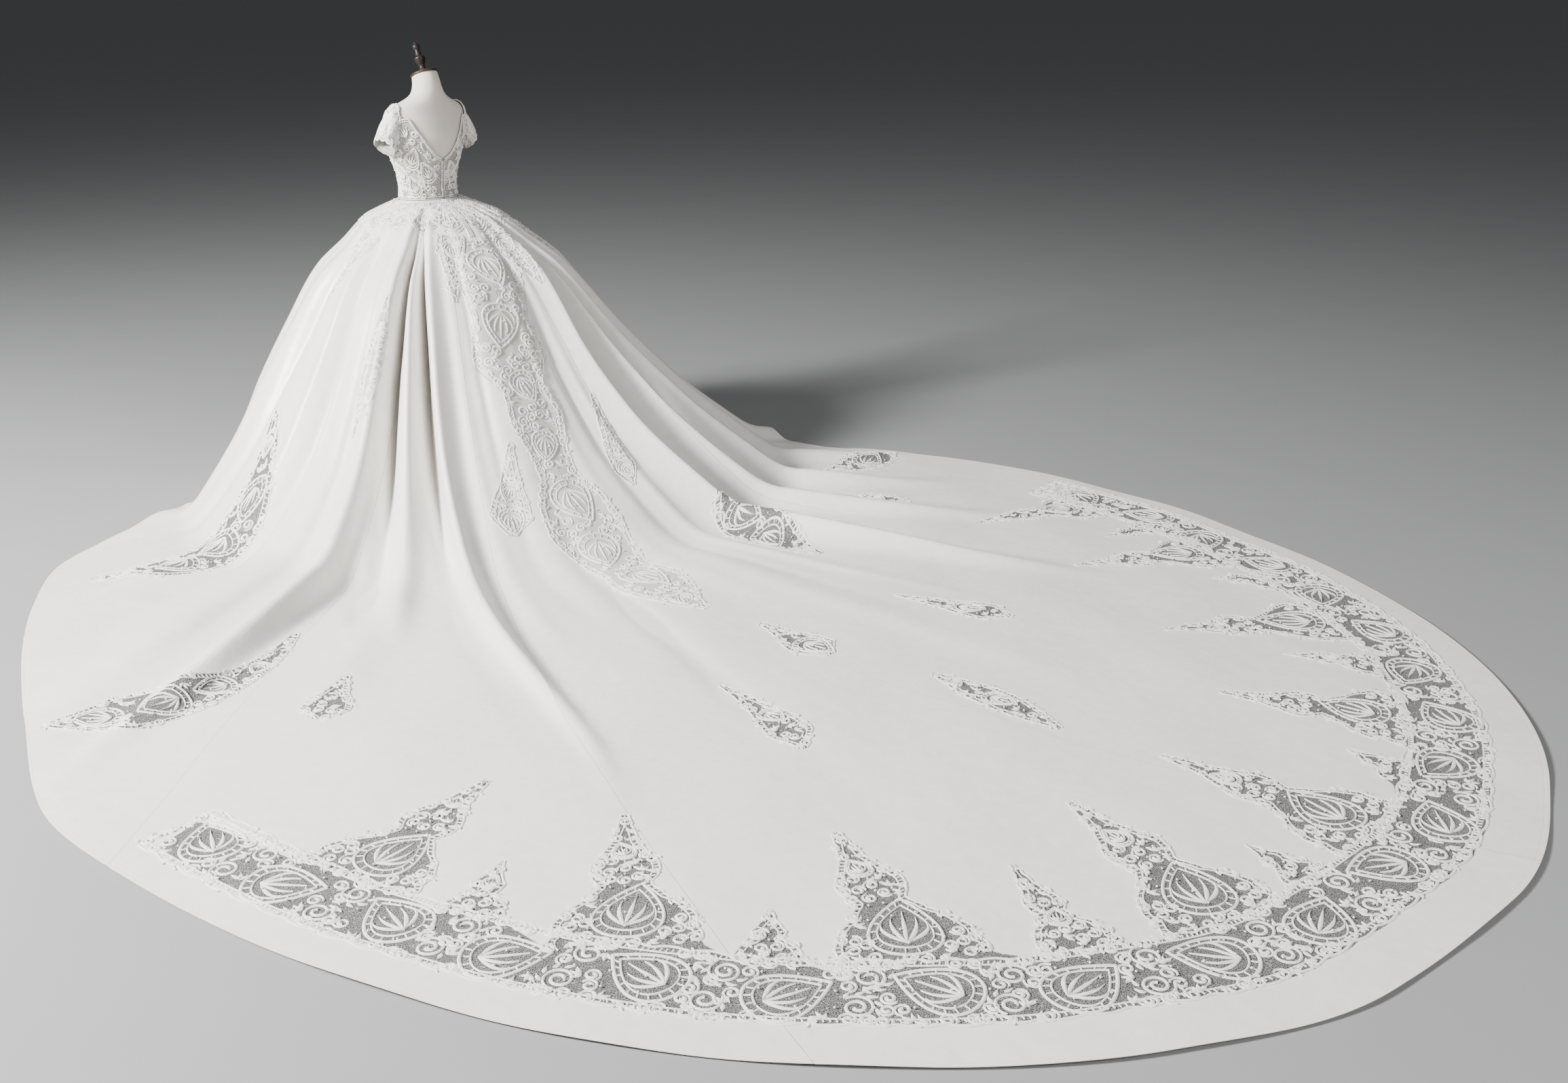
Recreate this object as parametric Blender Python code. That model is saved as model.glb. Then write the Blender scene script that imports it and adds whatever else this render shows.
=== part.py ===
"""A wedding dress with a long train, worn by a limbless dress form on a round stand.

Metres, +Z up. The dress faces -Y and its train lies along +Y. The origin is on the
floor, under the pole of the stand. Directions round the skirt are in degrees from +Y,
positive towards the wearer's left, which is +X.
"""

import math
from collections import namedtuple

import bmesh
import bpy
from mathutils import Vector
from mathutils.geometry import delaunay_2d_cdt

SEAM_GAP = 0.0003
LACE_GAP = 0.0006
CLOTH_WALL = 0.0025
LACE_WALL = 0.002
BODICE_WALL = 0.003
SLEEVE_WALL = 0.002

# The body of the form stands a little forward of the pole and is turned on it.
BODY_TURN = math.radians(12.0)
BODY_CENTRE = (0.0145, -0.0120)

WAIST_HEIGHT = 1.085
WAIST_HALF_WIDTH = 0.1154
WAIST_HALF_DEPTH = 0.0914
NOMINAL_WAIST = 0.115
WAIST_BLEND = 0.2
LANDING_SOFTNESS = 0.06
NORMAL_STEP = 0.004
LEAST_TURN = 0.2
LEAST_SLANT = 0.35
CLOTH_SHARP_ANGLE = math.radians(60.0)
TURNED_SHARP_ANGLE = math.radians(35.0)

DROP_STEPS = 240
PROFILES_PER_DEGREE = 10
MOST_SWING = 1.15
LANDING_DROP = 1.06
LANDING_LIMIT = 0.95

# How the plan of the skirt is filled with points.
DOME_ROWS = 11
DOME_CROWDING = 1.3
DOME_SPACING = math.radians(3.0)
FLOOR_SPACING = 0.29
FLOOR_ROW_PITCH = math.sqrt(3.0) / 2.0
PLAN_REACH = 6.0
HEM_SPACING = 0.17
SEAM_SPACING = 0.20
CLEAR_OF_EDGE = 0.35
CLEAR_OF_HEM = 0.05
FOLD_SPACING = 0.18
FOLD_FEET = (-1.3, 0.0, 1.3)

# How far the bell of the skirt has spread at each share of the drop from waist to floor.
BellRow = namedtuple("BellRow", "drop radius")
BELL = (
    BellRow(0.000, 0.115),
    BellRow(0.030, 0.190),
    BellRow(0.060, 0.250),
    BellRow(0.140, 0.335),
    BellRow(0.235, 0.435),
    BellRow(0.420, 0.555),
    BellRow(0.637, 0.690),
    BellRow(0.740, 0.745),
    BellRow(0.970, 0.880),
    BellRow(1.100, 0.955),
    BellRow(1.400, 1.130),
)

# How much further than the front the cloth lands, and how late in the drop it swings out.
SpreadRow = namedtuple("SpreadRow", "angle extra power")
SPREAD = (
    SpreadRow(-180, 0.00, 4.0),
    SpreadRow(-140, 0.02, 4.0),
    SpreadRow(-110, 0.14, 3.0),
    SpreadRow(-75, 0.34, 2.4),
    SpreadRow(-50, 0.38, 2.3),
    SpreadRow(-25, 0.32, 3.2),
    SpreadRow(0, 0.28, 5.0),
    SpreadRow(25, 0.27, 5.0),
    SpreadRow(60, 0.22, 5.0),
    SpreadRow(90, 0.12, 4.0),
    SpreadRow(120, 0.00, 4.0),
    SpreadRow(180, 0.00, 4.0),
)

HemRow = namedtuple("HemRow", "angle radius")
HEM = (
    HemRow(-180, 0.93),
    HemRow(-140, 0.94),
    HemRow(-115, 0.98),
    HemRow(-92, 1.10),
    HemRow(-78, 1.30),
    HemRow(-70, 1.50),
    HemRow(-63, 1.86),
    HemRow(-54, 2.32),
    HemRow(-45, 2.78),
    HemRow(-38, 3.12),
    HemRow(-31, 3.47),
    HemRow(-23, 3.80),
    HemRow(-15, 4.01),
    HemRow(-7, 4.12),
    HemRow(0, 4.12),
    HemRow(7, 4.01),
    HemRow(15, 3.79),
    HemRow(22, 3.56),
    HemRow(30, 3.26),
    HemRow(38, 2.96),
    HemRow(46, 2.68),
    HemRow(55, 2.26),
    HemRow(65, 1.94),
    HemRow(76, 1.68),
    HemRow(87, 1.47),
    HemRow(97, 1.18),
    HemRow(110, 0.95),
    HemRow(140, 0.93),
    HemRow(180, 0.93),
)

# Each fold runs down from the waist along a line of four directions, met at the radii
# below. Its height swells from the waist to the middle of the skirt and dies away on the
# floor. A valley has a negative height. Lean pushes the crest sideways over its neighbour.
FOLD_STATIONS = (0.25, 0.60, 1.20, 2.40)
FOLD_MIDDLE = 0.60
FOLD_FLOOR = 1.30
FOLD_REACH = 3.2
FOLD_START = 0.02
WIDTH_AT_WAIST = 0.35
LEAST_FLOOR_FOLD = 0.01
FoldRow = namedtuple(
    "FoldRow", "top mid low far height floor_height width floor_width end lean"
)
FOLDS = (
    FoldRow(52, 52, 54, 54, 0.036, 0.045, 0.090, 0.150, 2.70, 0.010),
    FoldRow(38.5, 41.5, 37.5, 34, -0.085, -0.014, 0.018, 0.045, 1.60, 0.000),
    FoldRow(44, 46.5, 46.5, 48, 0.044, 0.040, 0.030, 0.055, 2.72, -0.022),
    FoldRow(37, 36.2, 33, 29, 0.046, 0.022, 0.022, 0.045, 1.70, 0.000),
    FoldRow(34, 31, 26, 20.5, -0.095, -0.006, 0.026, 0.038, 2.60, 0.000),
    FoldRow(29, 26.5, 22.5, 17.5, 0.040, 0.030, 0.030, 0.034, 2.90, 0.020),
    FoldRow(8, 8, 6, 4, 0.020, 0.006, 0.120, 0.200, 1.90, 0.000),
    FoldRow(-27, -22.5, -25.5, -28.5, 0.046, 0.042, 0.040, 0.050, 2.70, -0.020),
    FoldRow(-33, -29.5, -30.5, -33, -0.070, -0.012, 0.024, 0.050, 2.00, 0.000),
    FoldRow(-34, -36, -38, -41, 0.040, 0.032, 0.028, 0.050, 2.30, -0.010),
    FoldRow(-37, -40.5, -43, -46, -0.045, -0.008, 0.020, 0.040, 1.70, 0.000),
    FoldRow(-40, -44.5, -49, -52, 0.040, 0.030, 0.028, 0.050, 2.00, -0.010),
    FoldRow(-47, -49.5, -54, -58, -0.050, -0.008, 0.022, 0.040, 1.60, 0.000),
    FoldRow(-54, -57, -62, -64, 0.036, 0.034, 0.038, 0.050, 1.90, 0.000),
    FoldRow(-66, -65, -68, -70, -0.050, -0.006, 0.026, 0.040, 1.30, 0.000),
    FoldRow(-76, -76, -76, -76, 0.034, 0.045, 0.042, 0.045, 1.50, 0.000),
    FoldRow(-87, -87, -87, -87, -0.050, -0.006, 0.028, 0.040, 1.20, 0.000),
    FoldRow(-98, -99, -99, -99, 0.030, 0.010, 0.050, 0.060, 1.30, 0.000),
    FoldRow(-112, -112, -112, -112, -0.046, 0.000, 0.028, 0.040, 1.10, 0.000),
    FoldRow(-124, -125, -126, -126, 0.028, 0.012, 0.055, 0.060, 1.30, 0.000),
    FoldRow(-139, -139, -139, -139, -0.044, 0.000, 0.030, 0.040, 1.10, 0.000),
    FoldRow(-152, -153, -154, -154, 0.024, 0.010, 0.060, 0.070, 1.30, 0.000),
    FoldRow(-168, -167, -166, -166, -0.040, 0.000, 0.028, 0.040, 1.10, 0.000),
    FoldRow(168, 167, 166, 166, -0.040, 0.000, 0.028, 0.040, 1.10, 0.000),
    FoldRow(153, 153, 154, 154, 0.024, 0.010, 0.060, 0.070, 1.30, 0.000),
    FoldRow(139, 139, 139, 139, -0.044, 0.000, 0.030, 0.040, 1.10, 0.000),
    FoldRow(125, 125, 126, 126, 0.026, 0.012, 0.055, 0.060, 1.30, 0.000),
    FoldRow(104, 111, 113, 113, -0.036, 0.000, 0.030, 0.050, 1.20, 0.000),
    FoldRow(88, 98, 101, 101, 0.024, 0.010, 0.050, 0.060, 1.30, 0.000),
    FoldRow(80, 88, 90, 90, -0.030, -0.004, 0.030, 0.050, 1.20, 0.000),
    FoldRow(63, 64, 66, 66, -0.046, -0.008, 0.036, 0.080, 1.50, 0.000),
)

# Seams between the gores: the direction of each, and how it drifts on the train.
SEAM_DRIFT_START = 1.7
SeamRow = namedtuple("SeamRow", "angle drift columns")
SEAMS = (
    SeamRow(-130, 0.0, 12),
    SeamRow(-80, 0.0, 12),
    SeamRow(-36.5, 0.0, 12),
    SeamRow(-19, 2.0, 8),
    SeamRow(0, -4.0, 8),
    SeamRow(19, -1.5, 12),
    SeamRow(42, -0.9, 13),
    SeamRow(80, 0.0, 12),
    SeamRow(130, 0.0, 21),
)
GORE_NAMES = (
    "skirt_side_front_right",
    "skirt_side_back_right",
    "skirt_mid_back_right",
    "skirt_back_right",
    "skirt_back_left",
    "skirt_mid_back_left",
    "skirt_side_back_left",
    "skirt_side_front_left",
    "skirt_front",
)


def smooth_step(t):
    t = min(max(t, 0.0), 1.0)
    return t * t * (3.0 - 2.0 * t)


def along_rows(rows, key, value, x):
    """The value column at x, on a smooth curve through the rows."""
    keys = [getattr(row, key) for row in rows]
    values = [getattr(row, value) for row in rows]
    if x <= keys[0]:
        return values[0]
    if x >= keys[-1]:
        return values[-1]
    i = next(i for i in range(len(keys) - 1) if x <= keys[i + 1])
    slopes = []
    for j in (i, i + 1):
        if j in (0, len(keys) - 1):
            slopes.append(0.0 if key == "angle" else end_slope(keys, values, j))
        else:
            before = (values[j] - values[j - 1]) / (keys[j] - keys[j - 1])
            after = (values[j + 1] - values[j]) / (keys[j + 1] - keys[j])
            product = before * after
            slopes.append(2.0 * product / (before + after) if product > 0.0 else 0.0)
    span = keys[i + 1] - keys[i]
    t = (x - keys[i]) / span
    a = (1.0 + 2.0 * t) * (1.0 - t) ** 2
    b = t * (1.0 - t) ** 2
    c = t * t * (3.0 - 2.0 * t)
    d = t * t * (t - 1.0)
    return a * values[i] + b * span * slopes[0] + c * values[i + 1] + d * span * slopes[1]


def end_slope(keys, values, j):
    k = j if j == 0 else j - 1
    return (values[k + 1] - values[k]) / (keys[k + 1] - keys[k])


def direction(x, y):
    return math.degrees(math.atan2(x, y))


def plan_point(angle, radius):
    turn = math.radians(angle)
    return Vector((radius * math.sin(turn), radius * math.cos(turn)))


def turn_between(a, b):
    return (a - b + 180.0) % 360.0 - 180.0


def hem_radius(angle):
    return along_rows(HEM, "angle", "radius", angle)


def waist_radius(angle):
    """Distance from the stand's axis to the oval waist, which is set off and turned."""
    ahead = plan_point(angle, 1.0)
    left = Vector((math.cos(BODY_TURN), math.sin(BODY_TURN)))
    back = Vector((-math.sin(BODY_TURN), math.cos(BODY_TURN)))
    centre = Vector(BODY_CENTRE)
    sx, sy = ahead.dot(left) / WAIST_HALF_WIDTH, ahead.dot(back) / WAIST_HALF_DEPTH
    cx, cy = centre.dot(left) / WAIST_HALF_WIDTH, centre.dot(back) / WAIST_HALF_DEPTH
    a = sx * sx + sy * sy
    b = sx * cx + sy * cy
    c = cx * cx + cy * cy - 1.0
    return (b + math.sqrt(b * b - a * c)) / a


def bell_radius(drop, angle):
    extra = along_rows(SPREAD, "angle", "extra", angle)
    power = along_rows(SPREAD, "angle", "power", angle)
    radius = along_rows(BELL, "drop", "radius", drop) + extra * min(drop, MOST_SWING) ** power
    near_waist = max(0.0, 1.0 - drop / WAIST_BLEND)
    return radius + (waist_radius(angle) - NOMINAL_WAIST) * near_waist**2


PROFILES = {}


def profile(angle):
    """The bell's radii at even steps of the drop, kept for each small step of direction."""
    key = round(angle * PROFILES_PER_DEGREE)
    if key not in PROFILES:
        drops = [BELL[-1].drop * i / DROP_STEPS for i in range(DROP_STEPS + 1)]
        PROFILES[key] = [(bell_radius(drop, key / PROFILES_PER_DEGREE), drop) for drop in drops]
    return PROFILES[key]


def bell_height(angle, radius):
    """Height of the unfolded skirt, which bends onto the floor in a soft curve."""
    rows = profile(angle)
    low, high = 0, len(rows) - 1
    if radius >= rows[high][0]:
        return 0.0
    while high - low > 1:
        middle = (low + high) // 2
        if rows[middle][0] < radius:
            low = middle
        else:
            high = middle
    share = (radius - rows[low][0]) / (rows[high][0] - rows[low][0])
    drop = rows[low][1] + max(share, 0.0) * (rows[high][1] - rows[low][1])
    height = WAIST_HEIGHT * (1.0 - drop)
    if height > LANDING_SOFTNESS:
        return height
    if height < -LANDING_SOFTNESS:
        return 0.0
    return (height + LANDING_SOFTNESS) ** 2 / (4.0 * LANDING_SOFTNESS)


def bell_point(x, y):
    return Vector((x, y, bell_height(direction(x, y), math.hypot(x, y))))


def bell_normal(x, y):
    here = bell_point(x, y)
    across = bell_point(x + NORMAL_STEP, y) - here
    along = bell_point(x, y + NORMAL_STEP) - here
    return across.cross(along).normalized()


def station_value(values, radius):
    if radius <= FOLD_STATIONS[0]:
        return values[0]
    for i in range(len(values) - 1):
        if radius <= FOLD_STATIONS[i + 1]:
            span = FOLD_STATIONS[i + 1] - FOLD_STATIONS[i]
            share = smooth_step((radius - FOLD_STATIONS[i]) / span)
            linear = (radius - FOLD_STATIONS[i]) / span
            blend = 0.5 * (share + linear)
            return values[i] + (values[i + 1] - values[i]) * blend
    return values[-1]


def fold_angle(fold, radius):
    return station_value((fold.top, fold.mid, fold.low, fold.far), radius)


def fold_strength(fold, radius, angle):
    """Height and width of a fold at this distance from the axis."""
    start = waist_radius(angle) + FOLD_START
    rise = smooth_step((radius - start) / (FOLD_MIDDLE - start))
    fall = smooth_step((radius - FOLD_MIDDLE) / (FOLD_FLOOR - FOLD_MIDDLE))
    height = rise * (fold.height + (fold.floor_height - fold.height) * fall)
    if fold.end > FOLD_FLOOR:
        height *= 1.0 - smooth_step((radius - FOLD_FLOOR) / (fold.end - FOLD_FLOOR))
    width = fold.width + (fold.floor_width - fold.width) * fall
    width *= WIDTH_AT_WAIST + (1.0 - WIDTH_AT_WAIST) * smooth_step(radius / FOLD_MIDDLE)
    return height, width


def sheet_point(x, y):
    """A point of the cloth's inner face: the bell with its folds."""
    radius = math.hypot(x, y)
    angle = direction(x, y)
    base = bell_point(x, y)
    normal = bell_normal(x, y)
    lift = 0.0
    slide = 0.0
    for fold in FOLDS:
        offset = math.radians(turn_between(angle, fold_angle(fold, radius))) * radius
        height, width = fold_strength(fold, radius, angle)
        if abs(offset) > FOLD_REACH * width or height == 0.0:
            continue
        bump = math.exp(-((offset / width) ** 2)) - math.exp(-(FOLD_REACH**2))
        lift += height * bump
        if fold.lean and fold.height:
            slide += fold.lean * height / fold.height * bump
    turn = math.radians(angle)
    sideways = Vector((math.cos(turn), -math.sin(turn), 0.0))
    point = base + normal * lift + sideways * slide
    point.z = max(point.z, 0.0)
    return point


def sheet_normal(x, y):
    here = sheet_point(x, y)
    across = sheet_point(x + NORMAL_STEP, y) - here
    along = sheet_point(x, y + NORMAL_STEP) - here
    return across.cross(along).normalized()


def seam_direction(seam, radius):
    return seam.angle + seam.drift * max(0.0, radius - SEAM_DRIFT_START)


# Lace. Every outline is a ring of plan points (x, y).

BORDER_INSET = 0.14
BORDER_DEPTH = 0.20
BORDER_FROM = 39.5
BORDER_TO = -50.0
BORDER_SPLIT = 3.9
BORDER_STEPS = 46
BORDER_END = 0.12
PAST_HEM = 1.02
WITHIN_WAIST = 0.98
BORDER_WAVE = 0.012
SpireRow = namedtuple("SpireRow", "foot_angle tip_angle tip_radius half_width")
SPIRES = (
    SpireRow(30.0, 23.9, 2.52, 0.150),
    SpireRow(25.2, 23.6, 2.90, 0.065),
    SpireRow(19.8, 17.6, 2.78, 0.150),
    SpireRow(15.4, 14.2, 3.27, 0.065),
    SpireRow(10.9, 9.3, 3.04, 0.150),
    SpireRow(5.9, 4.6, 3.36, 0.080),
    SpireRow(0.8, -0.7, 3.23, 0.150),
    SpireRow(-3.4, -3.5, 3.61, 0.060),
    SpireRow(-7.7, -7.1, 3.23, 0.150),
    SpireRow(-12.6, -13.0, 3.56, 0.060),
    SpireRow(-17.3, -15.0, 3.16, 0.150),
    SpireRow(-22.4, -21.3, 3.22, 0.070),
    SpireRow(-27.2, -21.1, 2.86, 0.150),
    SpireRow(-31.9, -31.0, 2.90, 0.070),
    SpireRow(-36.0, -30.0, 2.46, 0.140),
    SpireRow(-40.2, -37.2, 2.51, 0.060),
    SpireRow(-44.8, -37.5, 2.05, 0.120),
)
# The half width of a spire at each share of its rise, as a share of the foot's.
SpireShapeRow = namedtuple("SpireShapeRow", "rise width")
SPIRE_SHAPE = (
    SpireShapeRow(0.00, 1.00),
    SpireShapeRow(0.22, 0.85),
    SpireShapeRow(0.42, 0.40),
    SpireShapeRow(0.56, 0.46),
    SpireShapeRow(0.76, 0.24),
    SpireShapeRow(1.00, 0.04),
)


def border_outer(angle):
    """Distance to the outer edge of the lace band, inside the plain hem."""
    return hem_radius(angle) - BORDER_INSET


def border_line():
    """The wavy outer edge of the lace band, from its left end to its right end."""
    line = []
    for i in range(BORDER_STEPS + 1):
        angle = BORDER_FROM + (BORDER_TO - BORDER_FROM) * i / BORDER_STEPS
        wave = BORDER_WAVE * math.sin(i * math.pi / 2.0)
        line.append(plan_point(angle, border_outer(angle) + wave))
    return line


def border_outline():
    """The band of lace inside the hem, with a spire standing up at each row."""
    ring = border_line()
    for spire in reversed(SPIRES):
        ring += spire_outline(spire)
    ring.append(plan_point(BORDER_FROM - 1.0, border_outer(BORDER_FROM) - BORDER_END))
    return ring


def hem_band_outline():
    """The strip of satin outside the lace, drawn to just past the hem."""
    ring = border_line()
    for i in range(BORDER_STEPS, -1, -1):
        angle = BORDER_FROM + (BORDER_TO - BORDER_FROM) * i / BORDER_STEPS
        ring.append(plan_point(angle, hem_radius(angle) * PAST_HEM))
    return ring


def spire_outline(spire):
    """Right foot, up to the tip, and down to the left foot of one spire."""
    foot = plan_point(spire.foot_angle, border_outer(spire.foot_angle) - BORDER_DEPTH)
    tip = plan_point(spire.tip_angle, spire.tip_radius)
    ahead = (tip - foot).normalized()
    left = Vector((-ahead.y, ahead.x))
    edges = []
    for side in (1.0, -1.0):
        reach = left * side * spire.half_width
        edges.append([foot.lerp(tip, row.rise) + reach * row.width for row in SPIRE_SHAPE])
    if edges[0][0].x > edges[1][0].x:
        edges.reverse()
    return edges[0] + edges[1][::-1]


def ribbon_outline(path, widths):
    """A closed outline round a path of plan points, with a width at each."""
    left = []
    right = []
    for i, centre in enumerate(path):
        before = path[max(i - 1, 0)]
        after = path[min(i + 1, len(path) - 1)]
        ahead = (after - before).normalized()
        side = Vector((-ahead.y, ahead.x)) * widths[i] / 2.0
        left.append(centre + side)
        right.append(centre - side)
    return left + right[::-1]


# The lace down the middle of the back, laid on the satin.
SpineRow = namedtuple("SpineRow", "angle radius width")
SPINE = (
    SpineRow(0.0, 0.300, 0.070),
    SpineRow(0.0, 0.370, 0.150),
    SpineRow(0.0, 0.440, 0.180),
    SpineRow(1.5, 0.505, 0.150),
    SpineRow(2.0, 0.580, 0.205),
    SpineRow(1.5, 0.645, 0.115),
    SpineRow(0.5, 0.720, 0.150),
    SpineRow(0.5, 0.800, 0.105),
    SpineRow(0.5, 0.860, 0.100),
    SpineRow(0.5, 0.950, 0.180),
    SpineRow(0.5, 1.050, 0.205),
    SpineRow(0.0, 1.150, 0.170),
    SpineRow(0.0, 1.270, 0.135),
    SpineRow(-0.5, 1.400, 0.185),
    SpineRow(-0.5, 1.500, 0.160),
    SpineRow(-0.5, 1.620, 0.085),
    SpineRow(-1.0, 1.710, 0.012),
)

# The width of a motif along its length, as shares of its widest.
TAPER = (0.95, 1.00, 0.80, 0.60, 0.40, 0.10)
LEAF = (0.12, 0.60, 0.95, 1.00, 0.70, 0.15)
DROP = (0.10, 0.30, 0.50, 0.85, 1.00, 0.12)

# Each motif runs from one place to another, bowed to the left by its bend.
MotifRow = namedtuple(
    "MotifRow", "name start_angle start_radius end_angle end_radius bend width shape"
)
APPLIQUES = (
    MotifRow("lace_pendant_back_left", 15, 0.280, 19, 0.470, 0.000, 0.070, TAPER),
    MotifRow("lace_pendant_back_right", -18, 0.280, -22, 0.460, 0.000, 0.070, TAPER),
    MotifRow("lace_strip_left", 46, 0.460, 49, 0.740, 0.000, 0.040, LEAF),
    MotifRow("lace_hip_left", 76, 0.290, 80, 0.480, 0.000, 0.070, TAPER),
    MotifRow("lace_hip_right", -70, 0.290, -73, 0.480, 0.000, 0.070, TAPER),
    MotifRow("lace_drop_left", 10, 0.760, 15, 1.020, 0.000, 0.105, DROP),
    MotifRow("lace_drop_right", -19, 0.710, -15, 0.965, 0.000, 0.065, DROP),
    MotifRow("lace_front_left", 150, 0.300, 150, 0.560, 0.000, 0.110, TAPER),
    MotifRow("lace_front_right", -150, 0.300, -150, 0.560, 0.000, 0.110, TAPER),
    MotifRow("lace_front_centre", 180, 0.300, 180, 0.620, 0.000, 0.130, TAPER),
)

# Lace let into the satin, where the satin under it is cut away.
INSETS = (
    MotifRow("inset_side_left", 83, 0.700, 78, 1.470, -0.130, 0.150, DROP),
    MotifRow("inset_flap_left", 43, 1.560, 53, 2.270, -0.140, 0.190, DROP),
    MotifRow("inset_drop_left", 34.8, 1.860, 35.2, 2.130, 0.000, 0.120, DROP),
    MotifRow("inset_centre_upper", -3.0, 1.900, -3.0, 2.220, 0.000, 0.135, DROP),
    MotifRow("inset_centre_lower", -6.3, 2.500, -6.0, 2.960, 0.000, 0.100, LEAF),
    MotifRow("inset_left_train", 6.5, 2.200, 6.4, 2.650, -0.020, 0.110, DROP),
    MotifRow("inset_right_train", -16.0, 2.060, -17.5, 2.450, 0.000, 0.115, DROP),
    MotifRow("inset_right_fold", -28.5, 1.120, -22.0, 1.600, 0.020, 0.160, LEAF),
    MotifRow("inset_far_drop", -45.0, 1.580, -43.0, 1.790, 0.000, 0.070, LEAF),
    MotifRow("inset_far_side", -58.5, 1.540, -64.0, 1.770, 0.030, 0.130, LEAF),
    MotifRow("inset_side_right", -83, 0.700, -79, 1.170, 0.000, 0.080, DROP),
)

YOKE_RADIUS = 0.262
YOKE_SCALLOP = 0.016
YOKE_SCALLOPS = 16
YOKE_CUTS = (-135.0, -45.0, 45.0, 135.0)
YOKE_NAMES = ("yoke_right", "yoke_back", "yoke_left", "yoke_front")


def yoke_radius(angle):
    swing = abs(math.sin(math.radians(angle) * YOKE_SCALLOPS / 2.0))
    return YOKE_RADIUS - YOKE_SCALLOP + 2.0 * YOKE_SCALLOP * swing


def spine_outline():
    path = [plan_point(row.angle, row.radius) for row in SPINE]
    return ribbon_outline(path, [row.width for row in SPINE])


def motif_outline(motif):
    start = plan_point(motif.start_angle, motif.start_radius)
    end = plan_point(motif.end_angle, motif.end_radius)
    ahead = (end - start).normalized()
    left = Vector((ahead.y, -ahead.x))
    steps = len(motif.shape) - 1
    path = []
    for i in range(steps + 1):
        share = i / steps
        path.append(start.lerp(end, share) + left * motif.bend * 4.0 * share * (1.0 - share))
    return ribbon_outline(path, [motif.width * share for share in motif.shape])


def inside(point, ring):
    """Whether the point lies within the closed ring."""
    within = False
    x, y = point
    for (x1, y1), (x2, y2) in zip(ring, ring[1:] + ring[:1]):
        if (y1 > y) != (y2 > y) and x < (x2 - x1) * (y - y1) / (y2 - y1) + x1:
            within = not within
    return within


class Pattern:
    """The plan of the whole skirt, cut into triangles along every seam and lace edge."""

    def __init__(self):
        self.points = []
        self.edges = []

    def line(self, points, closed=False):
        first = len(self.points)
        self.points += [Vector(point) for point in points]
        count = len(points)
        self.edges += [(first + i, first + i + 1) for i in range(count - 1)]
        if closed:
            self.edges.append((first + count - 1, first))

    def fill(self, candidates):
        """Adds the points that aren't too near an edge that has to stay."""
        spans = [(self.points[a], self.points[b]) for a, b in self.edges]
        for point, spacing in candidates:
            clear = spacing * CLEAR_OF_EDGE
            if all(distance_to(point, a, b, clear) > clear for a, b in spans):
                self.points.append(point)

    def triangles(self):
        points, _, faces, _, _, _ = delaunay_2d_cdt(self.points, self.edges, [], 0, 1e-6)
        return points, faces


def distance_to(point, a, b, clear):
    if min(a.x, b.x) - clear > point.x or max(a.x, b.x) + clear < point.x:
        return clear + 1.0
    if min(a.y, b.y) - clear > point.y or max(a.y, b.y) + clear < point.y:
        return clear + 1.0
    along = b - a
    share = min(max((point - a).dot(along) / max(along.length_squared, 1e-12), 0.0), 1.0)
    return (a + along * share - point).length


def landing_radius(angle):
    return min(bell_radius(LANDING_DROP, angle), LANDING_LIMIT * hem_radius(angle))


def dome_radii(angle):
    """Radii of the rows of points between the waist and the floor."""
    inner = waist_radius(angle)
    outer = landing_radius(angle)
    shares = [(i / DOME_ROWS) ** DOME_CROWDING for i in range(DOME_ROWS + 1)]
    return [inner + (outer - inner) * share for share in shares]


def column_angles():
    angles = []
    count = len(SEAMS)
    for i, seam in enumerate(SEAMS):
        span = (SEAMS[(i + 1) % count].angle - seam.angle) % 360.0
        angles += [
            turn_between(seam.angle + span * k / seam.columns, 0.0) for k in range(seam.columns)
        ]
    return angles


def cut_pattern():
    pattern = Pattern()
    columns = column_angles()
    pattern.line([plan_point(a, waist_radius(a)) for a in columns], closed=True)
    pattern.line([plan_point(a, hem_radius(a)) for a in hem_angles()], closed=True)
    for seam in SEAMS:
        radii = dome_radii(seam.angle)
        limit = hem_radius(seam.angle + seam.drift) * PAST_HEM
        steps = max(1, round((limit - radii[-1]) / SEAM_SPACING))
        radii += [radii[-1] + (limit - radii[-1]) * i / steps for i in range(1, steps + 1)]
        radii[0] *= WITHIN_WAIST
        pattern.line([plan_point(seam_direction(seam, r), r) for r in radii])
    pattern.line(border_outline(), closed=True)
    pattern.line(spine_outline(), closed=True)
    for motif in APPLIQUES + INSETS:
        pattern.line(motif_outline(motif), closed=True)
    pattern.line([plan_point(a, yoke_radius(a)) for a in yoke_angles()], closed=True)
    for cut in YOKE_CUTS:
        between = [r for r in dome_radii(cut)[1:] if r < yoke_radius(cut)]
        radii = [waist_radius(cut) * WITHIN_WAIST, *between, yoke_radius(cut) * PAST_HEM]
        pattern.line([plan_point(cut, r) for r in radii])
    ends = border_line()
    pattern.line([ends[0], plan_point(BORDER_FROM, hem_radius(BORDER_FROM) * PAST_HEM)])
    pattern.line([ends[-1], plan_point(BORDER_TO, hem_radius(BORDER_TO) * PAST_HEM)])
    split = border_outer(BORDER_SPLIT) - BORDER_DEPTH - BORDER_END
    split_end = hem_radius(BORDER_SPLIT) * PAST_HEM
    pattern.line([plan_point(BORDER_SPLIT, radius) for radius in (split, split_end)])
    pattern.fill(dome_points(columns))
    pattern.fill(fold_points())
    pattern.fill(floor_points())
    return pattern.triangles()


def yoke_angles():
    steps = YOKE_SCALLOPS * 4
    return [turn_between(360.0 * i / steps, 0.0) for i in range(steps)]


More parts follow.
